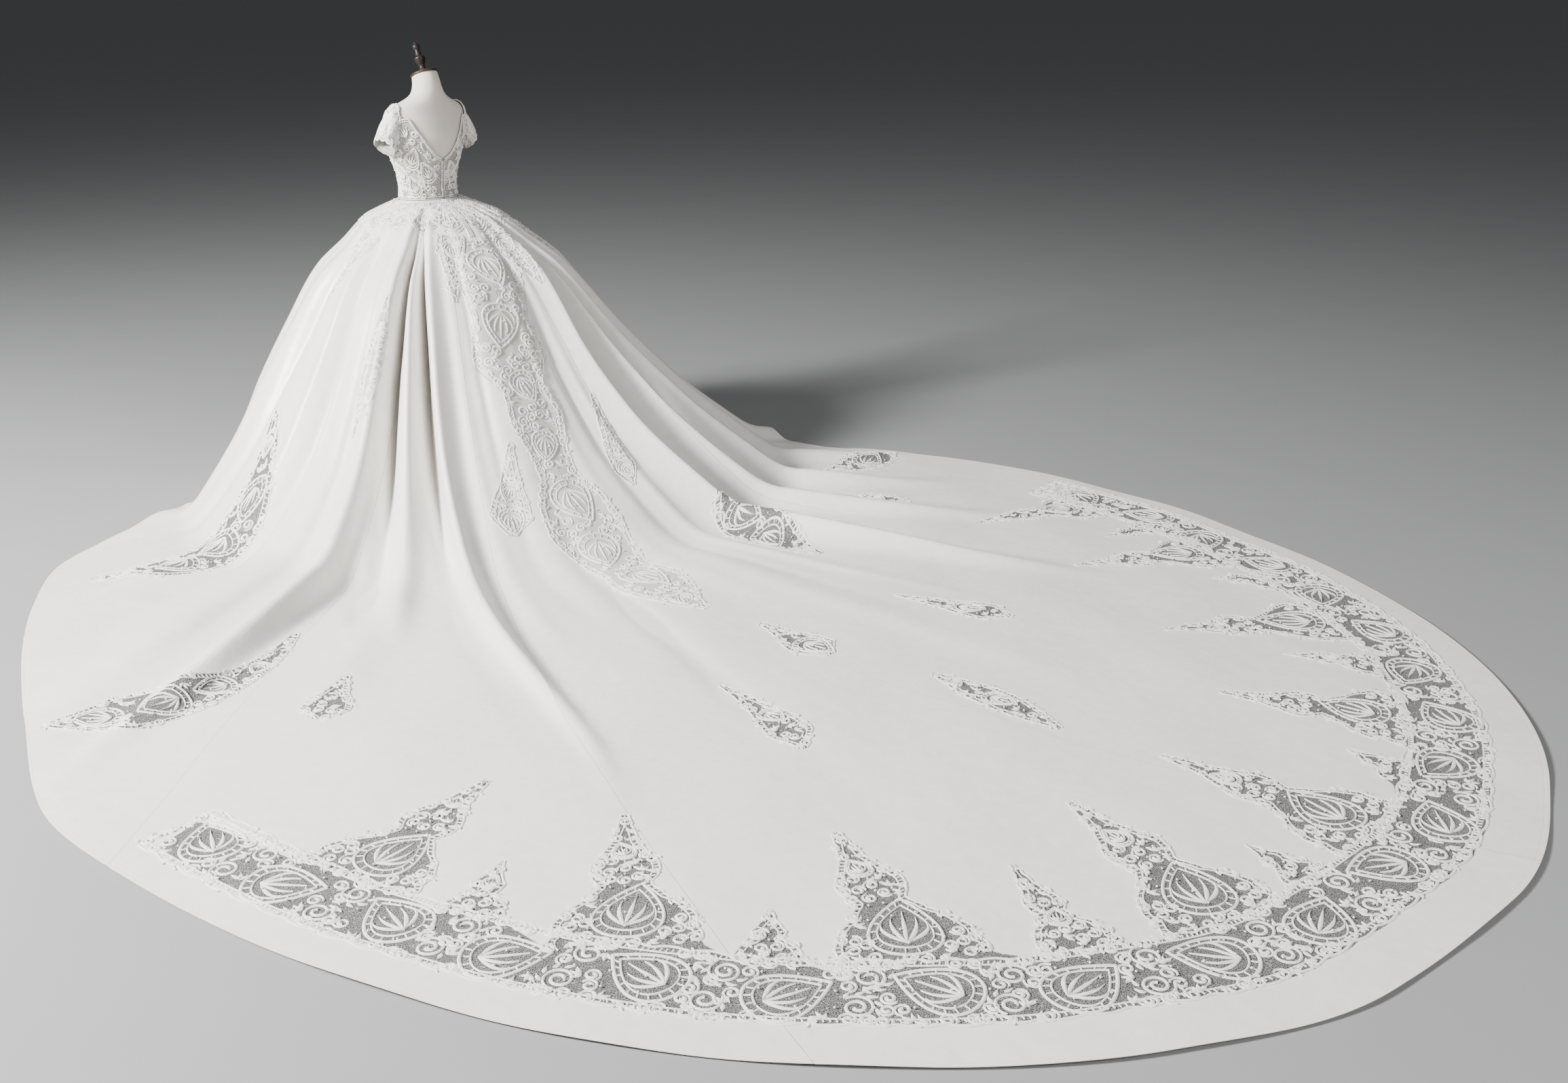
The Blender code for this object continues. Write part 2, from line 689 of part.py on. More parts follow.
def hem_angles():
    """Directions that part the hem evenly."""
    angles = [-180.0]
    while angles[-1] < 180.0:
        radius = hem_radius(angles[-1])
        ahead = hem_radius(min(angles[-1] + 1.0, 180.0))
        per_degree = math.hypot(math.radians(radius), ahead - radius)
        angles.append(angles[-1] + HEM_SPACING / per_degree)
    return angles[:-1]


def dome_points(columns):
    found = []
    for angle in columns:
        radii = dome_radii(angle)
        for radius in radii[1:]:
            found.append((plan_point(angle, radius), DOME_SPACING * radius))
    return found


def fold_points():
    """Points along the crest and the feet of every fold that lies on the floor."""
    found = []
    for fold in FOLDS:
        if abs(fold.floor_height) < LEAST_FLOOR_FOLD:
            continue
        radius = landing_radius(fold.low) + CLEAR_OF_HEM
        while radius < min(fold.end, hem_radius(fold.far) - CLEAR_OF_HEM):
            width = fold_strength(fold, radius, fold.low)[1]
            for shift in FOLD_FEET:
                angle = fold_angle(fold, radius) + math.degrees(shift * width / radius)
                if radius < hem_radius(angle) - CLEAR_OF_HEM:
                    found.append((plan_point(angle, radius), width))
            radius += FOLD_SPACING
    return found


def floor_points():
    """An even spread of points over the train."""
    found = []
    rows = round(PLAN_REACH / FLOOR_SPACING)
    for i in range(-rows, rows):
        for j in range(-rows, rows):
            x = (i + 0.5 * (j % 2)) * FLOOR_SPACING
            y = j * FLOOR_SPACING * FLOOR_ROW_PITCH
            angle = direction(x, y)
            radius = math.hypot(x, y)
            if landing_radius(angle) + CLEAR_OF_HEM < radius < hem_radius(angle) - CLEAR_OF_HEM:
                found.append((Vector((x, y)), FLOOR_SPACING))
    return found


# Solids of the cloth.


def material(name, colour, roughness):
    made = bpy.data.materials.new(name)
    made.use_nodes = True
    shader = made.node_tree.nodes["Principled BSDF"]
    shader.inputs["Base Color"].default_value = (*colour, 1.0)
    shader.inputs["Roughness"].default_value = roughness
    return made


def add_object(name, bm, finish, sharp_angle=CLOTH_SHARP_ANGLE):
    mesh = bpy.data.meshes.new(name)
    bm.to_mesh(mesh)
    bm.free()
    mesh.materials.append(finish)
    mesh.shade_smooth()
    mesh.set_sharp_from_angle(angle=sharp_angle)
    made = bpy.data.objects.new(name, mesh)
    bpy.context.scene.collection.objects.link(made)
    return made


def rim_edges(faces):
    """The edges that only one triangle has, with that triangle on their left."""
    edges = [edge for face in faces for edge in zip(face, face[1:] + face[:1])]
    known = set(edges)
    return [(a, b) for a, b in edges if (b, a) not in known]


def inward_shift(points, rim):
    """How far each point on the rim moves in, to part the seams."""
    sides = {}
    for a, b in rim:
        ahead = (points[b] - points[a]).normalized()
        for vertex in (a, b):
            sides.setdefault(vertex, []).append(Vector((-ahead.y, ahead.x)))
    moved = {}
    for vertex, found in sides.items():
        total = sum(found, Vector((0.0, 0.0)))
        if total.length > LEAST_TURN:
            inward = total.normalized()
            moved[vertex] = inward * SEAM_GAP / 2.0 / max(inward.dot(found[0]), LEAST_SLANT)
    return moved


def cloth_solid(name, points, faces, finish, lift, wall):
    """A wall of cloth over these triangles of the plan, raised by lift."""
    rim = rim_edges(faces)
    moved = inward_shift(points, rim)
    bm = bmesh.new()
    low = {}
    high = {}
    for i in sorted({i for face in faces for i in face}):
        x, y = points[i] + moved.get(i, Vector((0.0, 0.0)))
        normal = sheet_normal(x, y)
        foot = sheet_point(x, y) + normal * lift
        low[i] = bm.verts.new(foot)
        high[i] = bm.verts.new(foot + normal * wall)
    for face in faces:
        bm.faces.new([high[i] for i in face])
        bm.faces.new([low[i] for i in reversed(face)])
    for a, b in rim:
        # Both pieces at a seam are cut along the same diagonal, so their walls don't cross.
        last = (high[b], high[a])
        if a < b:
            bm.faces.new((low[a], low[b], high[b]))
            bm.faces.new((low[a], *last))
        else:
            bm.faces.new((low[a], low[b], high[a]))
            bm.faces.new((low[b], *last))
    return add_object(name, bm, finish)


def gore_index(x, y):
    radius = math.hypot(x, y)
    angle = direction(x, y)
    found = len(SEAMS) - 1
    for i, seam in enumerate(SEAMS):
        if angle >= seam_direction(seam, radius):
            found = i
    return found


def piece_at(centre, border, hem_band, insets):
    """The name of the piece of skirt that covers this place of the plan."""
    for name, ring in (("border", border), ("hem_band", hem_band)):
        if inside(centre, ring):
            return name + ("_left" if direction(*centre) > BORDER_SPLIT else "_right")
    for name, ring in insets.items():
        if inside(centre, ring):
            return name
    return GORE_NAMES[gore_index(*centre)]


def sorted_faces(points, faces):
    """The triangles of each piece of the skirt, and those of each piece of lace laid on it."""
    border = border_outline()
    hem_band = hem_band_outline()
    insets = {motif.name: motif_outline(motif) for motif in INSETS}
    overlays = {motif.name: motif_outline(motif) for motif in APPLIQUES}
    overlays["lace_spine"] = spine_outline()
    cut = {}
    laid = {}
    for face in faces:
        centre = sum((points[i] for i in face), Vector((0.0, 0.0))) / len(face)
        angle, radius = direction(*centre), centre.length
        if not waist_radius(angle) < radius < hem_radius(angle):
            continue
        face = list(face)
        cut.setdefault(piece_at(centre, border, hem_band, insets), []).append(face)
        for name, ring in overlays.items():
            if inside(centre, ring):
                laid.setdefault(name, []).append(face)
        if radius < yoke_radius(angle):
            slot = sum(angle > turn for turn in YOKE_CUTS)
            laid.setdefault(YOKE_NAMES[(slot - 1) % len(YOKE_NAMES)], []).append(face)
    return cut, laid


def make_skirt(satin, tulle, lace):
    points, faces = cut_pattern()
    cut, laid = sorted_faces(points, faces)
    for name, triangles in cut.items():
        sheer = name.startswith(("border", "inset"))
        cloth_solid(name, points, triangles, tulle if sheer else satin, 0.0, CLOTH_WALL)
    for name, triangles in laid.items():
        cloth_solid(name, points, triangles, lace, CLOTH_WALL + LACE_GAP, LACE_WALL)


# The dress form and the bodice. The body's own directions are left, back and up.

TorsoRow = namedtuple("TorsoRow", "height half_width half_depth back tilt")
TORSO = (
    TorsoRow(0.880, 0.128, 0.098, 0.000, 0.0),
    TorsoRow(0.950, 0.140, 0.106, 0.000, 0.0),
    TorsoRow(1.020, 0.131, 0.100, 0.000, 0.0),
    TorsoRow(1.085, 0.1105, 0.0865, 0.000, 0.0),
    TorsoRow(1.130, 0.1040, 0.0840, 0.000, 0.0),
    TorsoRow(1.180, 0.1105, 0.0880, 0.000, 0.0),
    TorsoRow(1.225, 0.1260, 0.0960, 0.001, 0.0),
    TorsoRow(1.265, 0.1400, 0.1040, 0.002, 0.0),
    TorsoRow(1.300, 0.1500, 0.1060, 0.004, 0.0),
    TorsoRow(1.335, 0.1570, 0.0990, 0.008, 0.0),
    TorsoRow(1.368, 0.1600, 0.0880, 0.014, 0.0),
    TorsoRow(1.395, 0.1560, 0.0760, 0.020, 0.0),
    TorsoRow(1.415, 0.1390, 0.0660, 0.026, 0.0),
    TorsoRow(1.432, 0.1050, 0.0590, 0.031, 0.0),
    TorsoRow(1.446, 0.0780, 0.0545, 0.035, 3.0),
    TorsoRow(1.464, 0.0600, 0.0520, 0.038, 7.0),
    TorsoRow(1.490, 0.0510, 0.0490, 0.037, 14.0),
    TorsoRow(1.520, 0.0465, 0.0460, 0.031, 22.0),
)
TORSO_COLUMNS = 30
PROBE = 0.001
CLEARING_ROUNDS = 6
BODICE_CLEAR = 0.0009
BODICE_EASE = 0.0030
BODICE_BOTTOM = WAIST_HEIGHT - 0.002
BODICE_MIDDLE = 1.2
BODICE_LOW_ROWS = (BODICE_BOTTOM, 1.130, 1.180, 1.225)
BODICE_ROWS = 8

# The neckline, by the direction round the body from the centre of the back.
NeckRow = namedtuple("NeckRow", "angle height")
NECKLINE = (
    NeckRow(0, 1.234),
    NeckRow(12, 1.248),
    NeckRow(24, 1.284),
    NeckRow(36, 1.336),
    NeckRow(48, 1.380),
    NeckRow(60, 1.376),
    NeckRow(72, 1.322),
    NeckRow(84, 1.282),
    NeckRow(96, 1.280),
    NeckRow(108, 1.318),
    NeckRow(120, 1.370),
    NeckRow(132, 1.372),
    NeckRow(144, 1.335),
    NeckRow(156, 1.300),
    NeckRow(168, 1.278),
    NeckRow(180, 1.268),
)
PanelRow = namedtuple("PanelRow", "name start stop")
BODICE_PANELS = (
    PanelRow("bodice_back_left", 0, 36),
    PanelRow("bodice_side_back_left", 36, 96),
    PanelRow("bodice_side_front_left", 96, 144),
    PanelRow("bodice_front", 144, 216),
    PanelRow("bodice_side_front_right", 216, 264),
    PanelRow("bodice_side_back_right", 264, 324),
    PanelRow("bodice_back_right", 324, 360),
)


def from_body(left, back, height):
    """The place of a point given in the body's own directions."""
    c, s = math.cos(BODY_TURN), math.sin(BODY_TURN)
    x = BODY_CENTRE[0] + left * c - back * s
    y = BODY_CENTRE[1] + left * s + back * c
    return Vector((x, y, height))


def torso_section(height):
    """The form's oval at this height, on straight lines between the rows."""
    for low, high in zip(TORSO, TORSO[1:]):
        if height <= high.height:
            break
    share = (height - low.height) / (high.height - low.height)
    return [a + (b - a) * share for a, b in zip(low[1:], high[1:])]


def torso_point(angle, height, out=0.0):
    """A point on the form, or out from it, at this direction from the back."""
    turn = math.radians(angle)
    half_width, half_depth, back, tilt = torso_section(height)
    left = (half_width + out) * math.sin(turn)
    depth = (half_depth + out) * math.cos(turn)
    lean = math.radians(tilt)
    return from_body(left, back + depth * math.cos(lean), height + depth * math.sin(lean))


def form_depth(point):
    """How far out of the form's oval this point is, as a share of the oval."""
    half_width, half_depth, back, _ = torso_section(point.z)
    return math.hypot(point.x / half_width, (point.y - back) / half_depth) - 1.0


def off_form(point, clear):
    """The point, given left, back and up, moved until it is clear of the form."""
    for _ in range(CLEARING_ROUNDS):
        here = form_depth(point)
        steps = [Vector((PROBE, 0.0, 0.0)), Vector((0.0, PROBE, 0.0)), Vector((0.0, 0.0, PROBE))]
        slope = Vector([(form_depth(point + step) - here) / PROBE for step in steps])
        short = clear - here / slope.length
        if short <= 0.0:
            break
        point = point + slope.normalized() * short
    return point


def torso_ring(height):
    return [torso_point(-360.0 * i / TORSO_COLUMNS, height) for i in range(TORSO_COLUMNS)]


def loft(bm, rings):
    """Closed rings of points, skinned in turn, with flat ends."""
    made = [[bm.verts.new(point) for point in ring] for ring in rings]
    for low, high in zip(made, made[1:]):
        for i, vert in enumerate(low):
            j = (i + 1) % len(low)
            bm.faces.new((vert, low[j], high[j], high[i]))
    bm.faces.new(made[0])
    bm.faces.new(made[-1])
    bmesh.ops.recalc_face_normals(bm, faces=bm.faces)


def make_torso(finish):
    bm = bmesh.new()
    loft(bm, [torso_ring(row.height) for row in TORSO])
    bmesh.ops.triangulate(bm, faces=[face for face in bm.faces if len(face.verts) > 4])
    return add_object("form_torso", bm, finish)


def grid_sheet(bm, point_at, columns, rows, closed=False):
    """A sheet over columns by rows, from a function of two shares from 0 to 1."""
    across = columns if closed else columns + 1
    verts = []
    for j in range(rows + 1):
        verts.append([bm.verts.new(point_at(i / columns, j / rows)) for i in range(across)])
    for j in range(rows):
        for i in range(columns):
            k = (i + 1) % across
            bm.faces.new((verts[j][i], verts[j][k], verts[j + 1][k], verts[j + 1][i]))


def thicken(bm, wall, outward_from):
    """Gives a sheet its wall, on the side away from the given point."""
    bm.normal_update()
    flow = sum(face.normal.dot(face.calc_center_median() - outward_from) for face in bm.faces)
    if flow < 0.0:
        bmesh.ops.reverse_faces(bm, faces=bm.faces)
    bm.normal_update()
    normals = {vert.co.copy().freeze(): vert.normal.copy() for vert in bm.verts}
    sheet = list(bm.faces)
    raised = bmesh.ops.extrude_face_region(bm, geom=sheet, use_keep_orig=True)
    for vert in (item for item in raised["geom"] if isinstance(item, bmesh.types.BMVert)):
        vert.co += normals[vert.co.copy().freeze()] * wall
    bmesh.ops.recalc_face_normals(bm, faces=bm.faces)


def neckline_height(angle):
    return along_rows(NECKLINE, "angle", "height", abs(turn_between(angle, 0.0)))


def bodice_height(angle, share):
    """Rows lie on the form's own rows up to the bust, then close up to the neckline."""
    row = share * BODICE_ROWS
    count = len(BODICE_LOW_ROWS) - 1
    if row <= count + 1e-6:
        return BODICE_LOW_ROWS[round(row)]
    low = BODICE_LOW_ROWS[-1]
    return low + (neckline_height(angle) - low) * (row - count) / (BODICE_ROWS - count)


def make_bodice(finish):
    for panel in BODICE_PANELS:
        edge = math.degrees(SEAM_GAP / 2.0 / WAIST_HALF_DEPTH)
        start, stop = panel.start + edge, panel.stop - edge

        def point_at(u, v, start=start, stop=stop):
            angle = start + (stop - start) * u
            ease = BODICE_EASE * smooth_step(v)
            return torso_point(angle, bodice_height(angle, v), BODICE_CLEAR + ease)

        bm = bmesh.new()
        columns = round((panel.stop - panel.start) * TORSO_COLUMNS / 360.0)
        grid_sheet(bm, point_at, columns, BODICE_ROWS)
        thicken(bm, BODICE_WALL, from_body(0.0, 0.0, BODICE_MIDDLE))
        add_object(panel.name, bm, finish)


PLACKET_COLUMNS = 2
PLACKET_ROWS = 6
PLACKET_HALF_ANGLE = 4.0
PLACKET_WALL = 0.0012
PLACKET_CLEAR = 0.0016
PLACKET_BOTTOM = 1.098
PLACKET_TOP = 1.224


def make_placket(finish):
    """The narrow fly over the zip, down the middle of the back."""
    out = BODICE_CLEAR + BODICE_WALL + PLACKET_CLEAR

    def point_at(u, v):
        angle = PLACKET_HALF_ANGLE * (2.0 * u - 1.0)
        height = PLACKET_BOTTOM + (PLACKET_TOP - PLACKET_BOTTOM) * v
        return torso_point(angle, height, out)

    bm = bmesh.new()
    grid_sheet(bm, point_at, PLACKET_COLUMNS, PLACKET_ROWS)
    thicken(bm, PLACKET_WALL, from_body(0.0, 0.0, BODICE_MIDDLE))
    add_object("zip_placket", bm, finish)


# A cap sleeve is a short tube from the armhole to its hem. Both are ovals, given by their
# highest and lowest points in the body's directions, left, back and up, and by their depth.
SLEEVE_CLEAR = 0.0068
SLEEVE_COLUMNS = 18
SLEEVE_ROWS = 3
ARMHOLE_TOP = (0.1110, 0.026, 1.434)
ARMHOLE_BOTTOM = (0.1560, 0.006, 1.272)
ARMHOLE_DEPTH = 0.066
SLEEVE_HEM_TOP = (0.2140, 0.016, 1.318)
SLEEVE_HEM_BOTTOM = (0.1660, 0.010, 1.262)
SLEEVE_HEM_DEPTH = 0.060
SLEEVE_OVALS = (
    (ARMHOLE_TOP, ARMHOLE_BOTTOM, ARMHOLE_DEPTH),
    (SLEEVE_HEM_TOP, SLEEVE_HEM_BOTTOM, SLEEVE_HEM_DEPTH),
)
PUFF_WAY = (0.45, 0.0, 0.9)
SLEEVE_MIDDLE = (0.17, 0.01, 1.33)
SLEEVE_PUFF = 0.010


def sleeve_point(side, u, v):
    turn = 2.0 * math.pi * u
    rings = []
    for top, bottom, depth in SLEEVE_OVALS:
        middle = (Vector(top) + Vector(bottom)) / 2.0
        rise = (Vector(top) - Vector(bottom)) / 2.0
        rings.append(middle + rise * math.cos(turn) + Vector((0.0, depth, 0.0)) * math.sin(turn))
    point = rings[0].lerp(rings[1], v)
    bulge = SLEEVE_PUFF * math.sin(math.pi * v) * (1.0 + math.cos(turn)) / 2.0
    point = off_form(point + Vector(PUFF_WAY) * bulge, SLEEVE_CLEAR)
    return from_body(side * point.x, point.y, point.z)


def make_sleeves(finish):
    for name, side in (("sleeve_left", 1.0), ("sleeve_right", -1.0)):

        def point_at(u, v, side=side):
            return sleeve_point(side, u, v)

        bm = bmesh.new()
        grid_sheet(bm, point_at, SLEEVE_COLUMNS, SLEEVE_ROWS, closed=True)
        left, back, height = SLEEVE_MIDDLE
        thicken(bm, SLEEVE_WALL, from_body(side * left, back, height))
        add_object(name, bm, finish)


# Turned pieces. Each row is a radius and a distance along the piece's own axis.
TURNED_COLUMNS = 15
TurnedRow = namedtuple("TurnedRow", "radius along")
CAP_PROFILE = (
    TurnedRow(0.0, 0.0),
    TurnedRow(0.0480, 0.0),
    TurnedRow(0.0500, 0.0030),
    TurnedRow(0.0495, 0.0070),
    TurnedRow(0.0440, 0.0105),
    TurnedRow(0.0200, 0.0135),
    TurnedRow(0.0, 0.0140),
)
FINIAL_PROFILE = (
    TurnedRow(0.0, 0.0),
    TurnedRow(0.0150, 0.0),
    TurnedRow(0.0125, 0.006),
    TurnedRow(0.0100, 0.014),
    TurnedRow(0.0120, 0.021),
    TurnedRow(0.0165, 0.030),
    TurnedRow(0.0195, 0.039),
    TurnedRow(0.0195, 0.042),
    TurnedRow(0.0130, 0.046),
    TurnedRow(0.0105, 0.056),
    TurnedRow(0.0082, 0.066),
    TurnedRow(0.0115, 0.070),
    TurnedRow(0.0130, 0.075),
    TurnedRow(0.0128, 0.080),
    TurnedRow(0.0085, 0.086),
    TurnedRow(0.0070, 0.090),
    TurnedRow(0.0040, 0.093),
    TurnedRow(0.0, 0.0935),
)
BASE_PROFILE = (
    TurnedRow(0.0, 0.0),
    TurnedRow(0.190, 0.0),
    TurnedRow(0.195, 0.006),
    TurnedRow(0.190, 0.014),
    TurnedRow(0.150, 0.022),
    TurnedRow(0.060, 0.030),
    TurnedRow(0.034, 0.040),
    TurnedRow(0.030, 0.062),
    TurnedRow(0.024, 0.070),
    TurnedRow(0.0, 0.070),
)
POLE_RADIUS = 0.016


def leaning_axis(lean):
    """Upwards, leant to the front of the body."""
    return from_body(0.0, -math.sin(lean), math.cos(lean)) - from_body(0.0, 0.0, 0.0)


def turned(name, rows, finish, start=Vector((0.0, 0.0, 0.0)), lean=0.0):
    """Rows spun round their axis, which starts at a point and leans to the front."""
    axis = leaning_axis(lean)
    turn = Vector((0.0, 0.0, 1.0)).rotation_difference(axis)
    bm = bmesh.new()
    verts = [bm.verts.new((row.radius, 0.0, row.along)) for row in rows]
    edges = [bm.edges.new(pair) for pair in zip(verts, verts[1:])]
    bmesh.ops.spin(
        bm, geom=verts + edges, cent=(0.0, 0.0, 0.0), axis=(0.0, 0.0, 1.0),
        angle=2.0 * math.pi, steps=TURNED_COLUMNS, use_merge=True,
    )
    bmesh.ops.remove_doubles(bm, verts=bm.verts, dist=1e-6)
    bmesh.ops.recalc_face_normals(bm, faces=bm.faces)
    for vert in bm.verts:
        vert.co = start + turn @ vert.co
    return add_object(name, bm, finish, TURNED_SHARP_ANGLE)


def make_form(cover, wood, dark):
    make_torso(cover)
    top = TORSO[-1]
    lean = math.radians(top.tilt)
    axis = leaning_axis(lean)
    cap_start = from_body(0.0, top.back, top.height) + axis * SEAM_GAP
    turned("neck_cap", CAP_PROFILE, wood, cap_start, lean)
    finial_start = cap_start + axis * (CAP_PROFILE[-1].along + SEAM_GAP)
    turned("neck_finial", FINIAL_PROFILE, dark, finial_start, lean)
    low = BASE_PROFILE[-1].along + SEAM_GAP
    high = TORSO[0].height - SEAM_GAP
    corners = ((0.0, low), (POLE_RADIUS, low), (POLE_RADIUS, high), (0.0, high))
    turned("stand_pole", [TurnedRow(*corner) for corner in corners], dark)
    turned("stand_base", BASE_PROFILE, dark)


def clear_scene():
    for thing in list(bpy.data.objects):
        bpy.data.objects.remove(thing, do_unlink=True)


def main():
    clear_scene()
    satin = material("ivory satin", (0.86, 0.84, 0.81), 0.38)
    tulle = material("lace on tulle", (0.74, 0.72, 0.69), 0.75)
    lace = material("corded lace", (0.88, 0.86, 0.82), 0.6)
    cover = material("cream form cover", (0.80, 0.75, 0.69), 0.85)
    wood = material("polished red-brown wood", (0.17, 0.05, 0.02), 0.22)
    dark = material("dark turned wood", (0.02, 0.013, 0.010), 0.25)
    make_skirt(satin, tulle, lace)
    make_bodice(lace)
    make_placket(lace)
    make_sleeves(lace)
    make_form(cover, wood, dark)


main()
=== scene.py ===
"""Looks of the wedding dress: satin gores, sheer lace, corded embroidery, bodice, form and stand.

Metres, +Z up. The dress faces -Y and its train lies along +Y. Directions round the skirt
are in degrees from +Y, positive towards +X, which is the wearer's left.
"""

import math
from collections import namedtuple

import bmesh
import bpy
import numpy as np
from mathutils import Matrix, Vector


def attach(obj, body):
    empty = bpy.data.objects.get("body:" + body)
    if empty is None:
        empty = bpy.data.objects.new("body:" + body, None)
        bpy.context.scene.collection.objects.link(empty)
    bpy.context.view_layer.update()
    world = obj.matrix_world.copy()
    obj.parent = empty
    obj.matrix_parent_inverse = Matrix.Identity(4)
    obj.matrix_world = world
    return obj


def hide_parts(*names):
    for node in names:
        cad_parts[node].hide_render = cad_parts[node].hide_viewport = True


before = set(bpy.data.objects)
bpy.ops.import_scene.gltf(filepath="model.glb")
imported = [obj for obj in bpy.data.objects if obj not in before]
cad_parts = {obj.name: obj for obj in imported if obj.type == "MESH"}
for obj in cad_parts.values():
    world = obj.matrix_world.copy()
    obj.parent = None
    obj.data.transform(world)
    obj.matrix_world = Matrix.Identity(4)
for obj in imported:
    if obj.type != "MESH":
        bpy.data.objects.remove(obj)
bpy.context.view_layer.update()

CLOTH_WALL = 0.0025
SATIN_WALL = 0.0012
BODICE_WALL = 0.0009
SLEEVE_WALL = 0.0008
FLY_WALL = 0.0006
LACE_GAP = 0.0004
CORD_RISE = 0.0029

# The form that the cloth follows, with the same sizes as the CAD model.
BODY_TURN = math.radians(12.0)
BODY_CENTRE = (0.0145, -0.0120)
WAIST_HEIGHT = 1.085
WAIST_HALF_WIDTH = 0.1154
WAIST_HALF_DEPTH = 0.0914
NOMINAL_WAIST = 0.115
WAIST_BLEND = 0.2
LANDING_SOFTNESS = 0.06
NORMAL_STEP = 0.003
MOST_SWING = 1.15


def table(kind, *rows):
    return tuple(kind(*row) for row in rows)


BellRow = namedtuple("BellRow", "drop radius")
BELL = table(
    BellRow,
    (0.000, 0.115), (0.030, 0.190), (0.060, 0.250), (0.140, 0.335), (0.235, 0.435), (0.420, 0.555),
    (0.637, 0.690), (0.740, 0.745), (0.970, 0.880), (1.100, 0.955), (1.400, 1.130),
)
SpreadRow = namedtuple("SpreadRow", "angle extra power")
SPREAD = table(
    SpreadRow,
    (-180, 0.00, 4.0), (-140, 0.02, 4.0), (-110, 0.14, 3.0), (-75, 0.34, 2.4),
    (-50, 0.38, 2.3), (-25, 0.32, 3.2), (0, 0.28, 5.0), (25, 0.27, 5.0),
    (60, 0.22, 5.0), (90, 0.12, 4.0), (120, 0.00, 4.0), (180, 0.00, 4.0),
)
HemRow = namedtuple("HemRow", "angle radius")
HEM = table(
    HemRow,
    (-180, 0.93), (-140, 0.94), (-115, 0.98), (-92, 1.10), (-78, 1.30), (-70, 1.50),
    (-63, 1.86), (-54, 2.32), (-45, 2.78), (-38, 3.12), (-31, 3.47), (-23, 3.80),
    (-15, 4.01), (-7, 4.12), (0, 4.12), (7, 4.01), (15, 3.79), (22, 3.56),
    (30, 3.26), (38, 2.96), (46, 2.68), (55, 2.26), (65, 1.94), (76, 1.68),
    (87, 1.47), (97, 1.18), (110, 0.95), (140, 0.93), (180, 0.93),
)

# The main folds, as in the CAD model.
FOLD_STATIONS = (0.25, 0.60, 1.20, 2.40)
FOLD_MIDDLE = 0.60
FOLD_FLOOR = 1.30
FOLD_REACH = 3.2
FOLD_START = 0.02
WIDTH_AT_WAIST = 0.35
FoldRow = namedtuple(
    "FoldRow", "top mid low far height floor_height width floor_width end lean"
)
FOLDS = table(
    FoldRow,
    (52, 52, 54, 54, 0.036, 0.045, 0.090, 0.150, 2.70, 0.010),
    (38.5, 41.5, 37.5, 34, -0.085, -0.014, 0.018, 0.045, 1.60, 0.000),
    (44, 46.5, 46.5, 48, 0.044, 0.040, 0.030, 0.055, 2.72, -0.022),
    (37, 36.2, 33, 29, 0.046, 0.022, 0.022, 0.045, 1.70, 0.000),
    (34, 31, 26, 20.5, -0.095, -0.006, 0.026, 0.038, 2.60, 0.000),
    (29, 26.5, 22.5, 17.5, 0.040, 0.030, 0.030, 0.034, 2.90, 0.020),
    (8, 8, 6, 4, 0.020, 0.006, 0.120, 0.200, 1.90, 0.000),
    (-27, -22.5, -25.5, -28.5, 0.046, 0.042, 0.040, 0.050, 2.70, -0.020),
    (-33, -29.5, -30.5, -33, -0.070, -0.012, 0.024, 0.050, 2.00, 0.000),
    (-34, -36, -38, -41, 0.040, 0.032, 0.028, 0.050, 2.30, -0.010),
    (-37, -40.5, -43, -46, -0.045, -0.008, 0.020, 0.040, 1.70, 0.000),
    (-40, -44.5, -49, -52, 0.040, 0.030, 0.028, 0.050, 2.00, -0.010),
    (-47, -49.5, -54, -58, -0.050, -0.008, 0.022, 0.040, 1.60, 0.000),
    (-54, -57, -62, -64, 0.036, 0.034, 0.038, 0.050, 1.90, 0.000),
    (-66, -65, -68, -70, -0.050, -0.006, 0.026, 0.040, 1.30, 0.000),
    (-76, -76, -76, -76, 0.034, 0.045, 0.042, 0.045, 1.50, 0.000),
    (-87, -87, -87, -87, -0.050, -0.006, 0.028, 0.040, 1.20, 0.000),
    (-98, -99, -99, -99, 0.030, 0.010, 0.050, 0.060, 1.30, 0.000),
    (-112, -112, -112, -112, -0.046, 0.000, 0.028, 0.040, 1.10, 0.000),
    (-124, -125, -126, -126, 0.028, 0.012, 0.055, 0.060, 1.30, 0.000),
    (-139, -139, -139, -139, -0.044, 0.000, 0.030, 0.040, 1.10, 0.000),
    (-152, -153, -154, -154, 0.024, 0.010, 0.060, 0.070, 1.30, 0.000),
    (-168, -167, -166, -166, -0.040, 0.000, 0.028, 0.040, 1.10, 0.000),
    (168, 167, 166, 166, -0.040, 0.000, 0.028, 0.040, 1.10, 0.000),
    (153, 153, 154, 154, 0.024, 0.010, 0.060, 0.070, 1.30, 0.000),
    (139, 139, 139, 139, -0.044, 0.000, 0.030, 0.040, 1.10, 0.000),
    (125, 125, 126, 126, 0.026, 0.012, 0.055, 0.060, 1.30, 0.000),
    (104, 111, 113, 113, -0.036, 0.000, 0.030, 0.050, 1.20, 0.000),
    (88, 98, 101, 101, 0.024, 0.010, 0.050, 0.060, 1.30, 0.000),
    (80, 88, 90, 90, -0.030, -0.004, 0.030, 0.050, 1.20, 0.000),
    (63, 64, 66, 66, -0.046, -0.008, 0.036, 0.080, 1.50, 0.000),
)
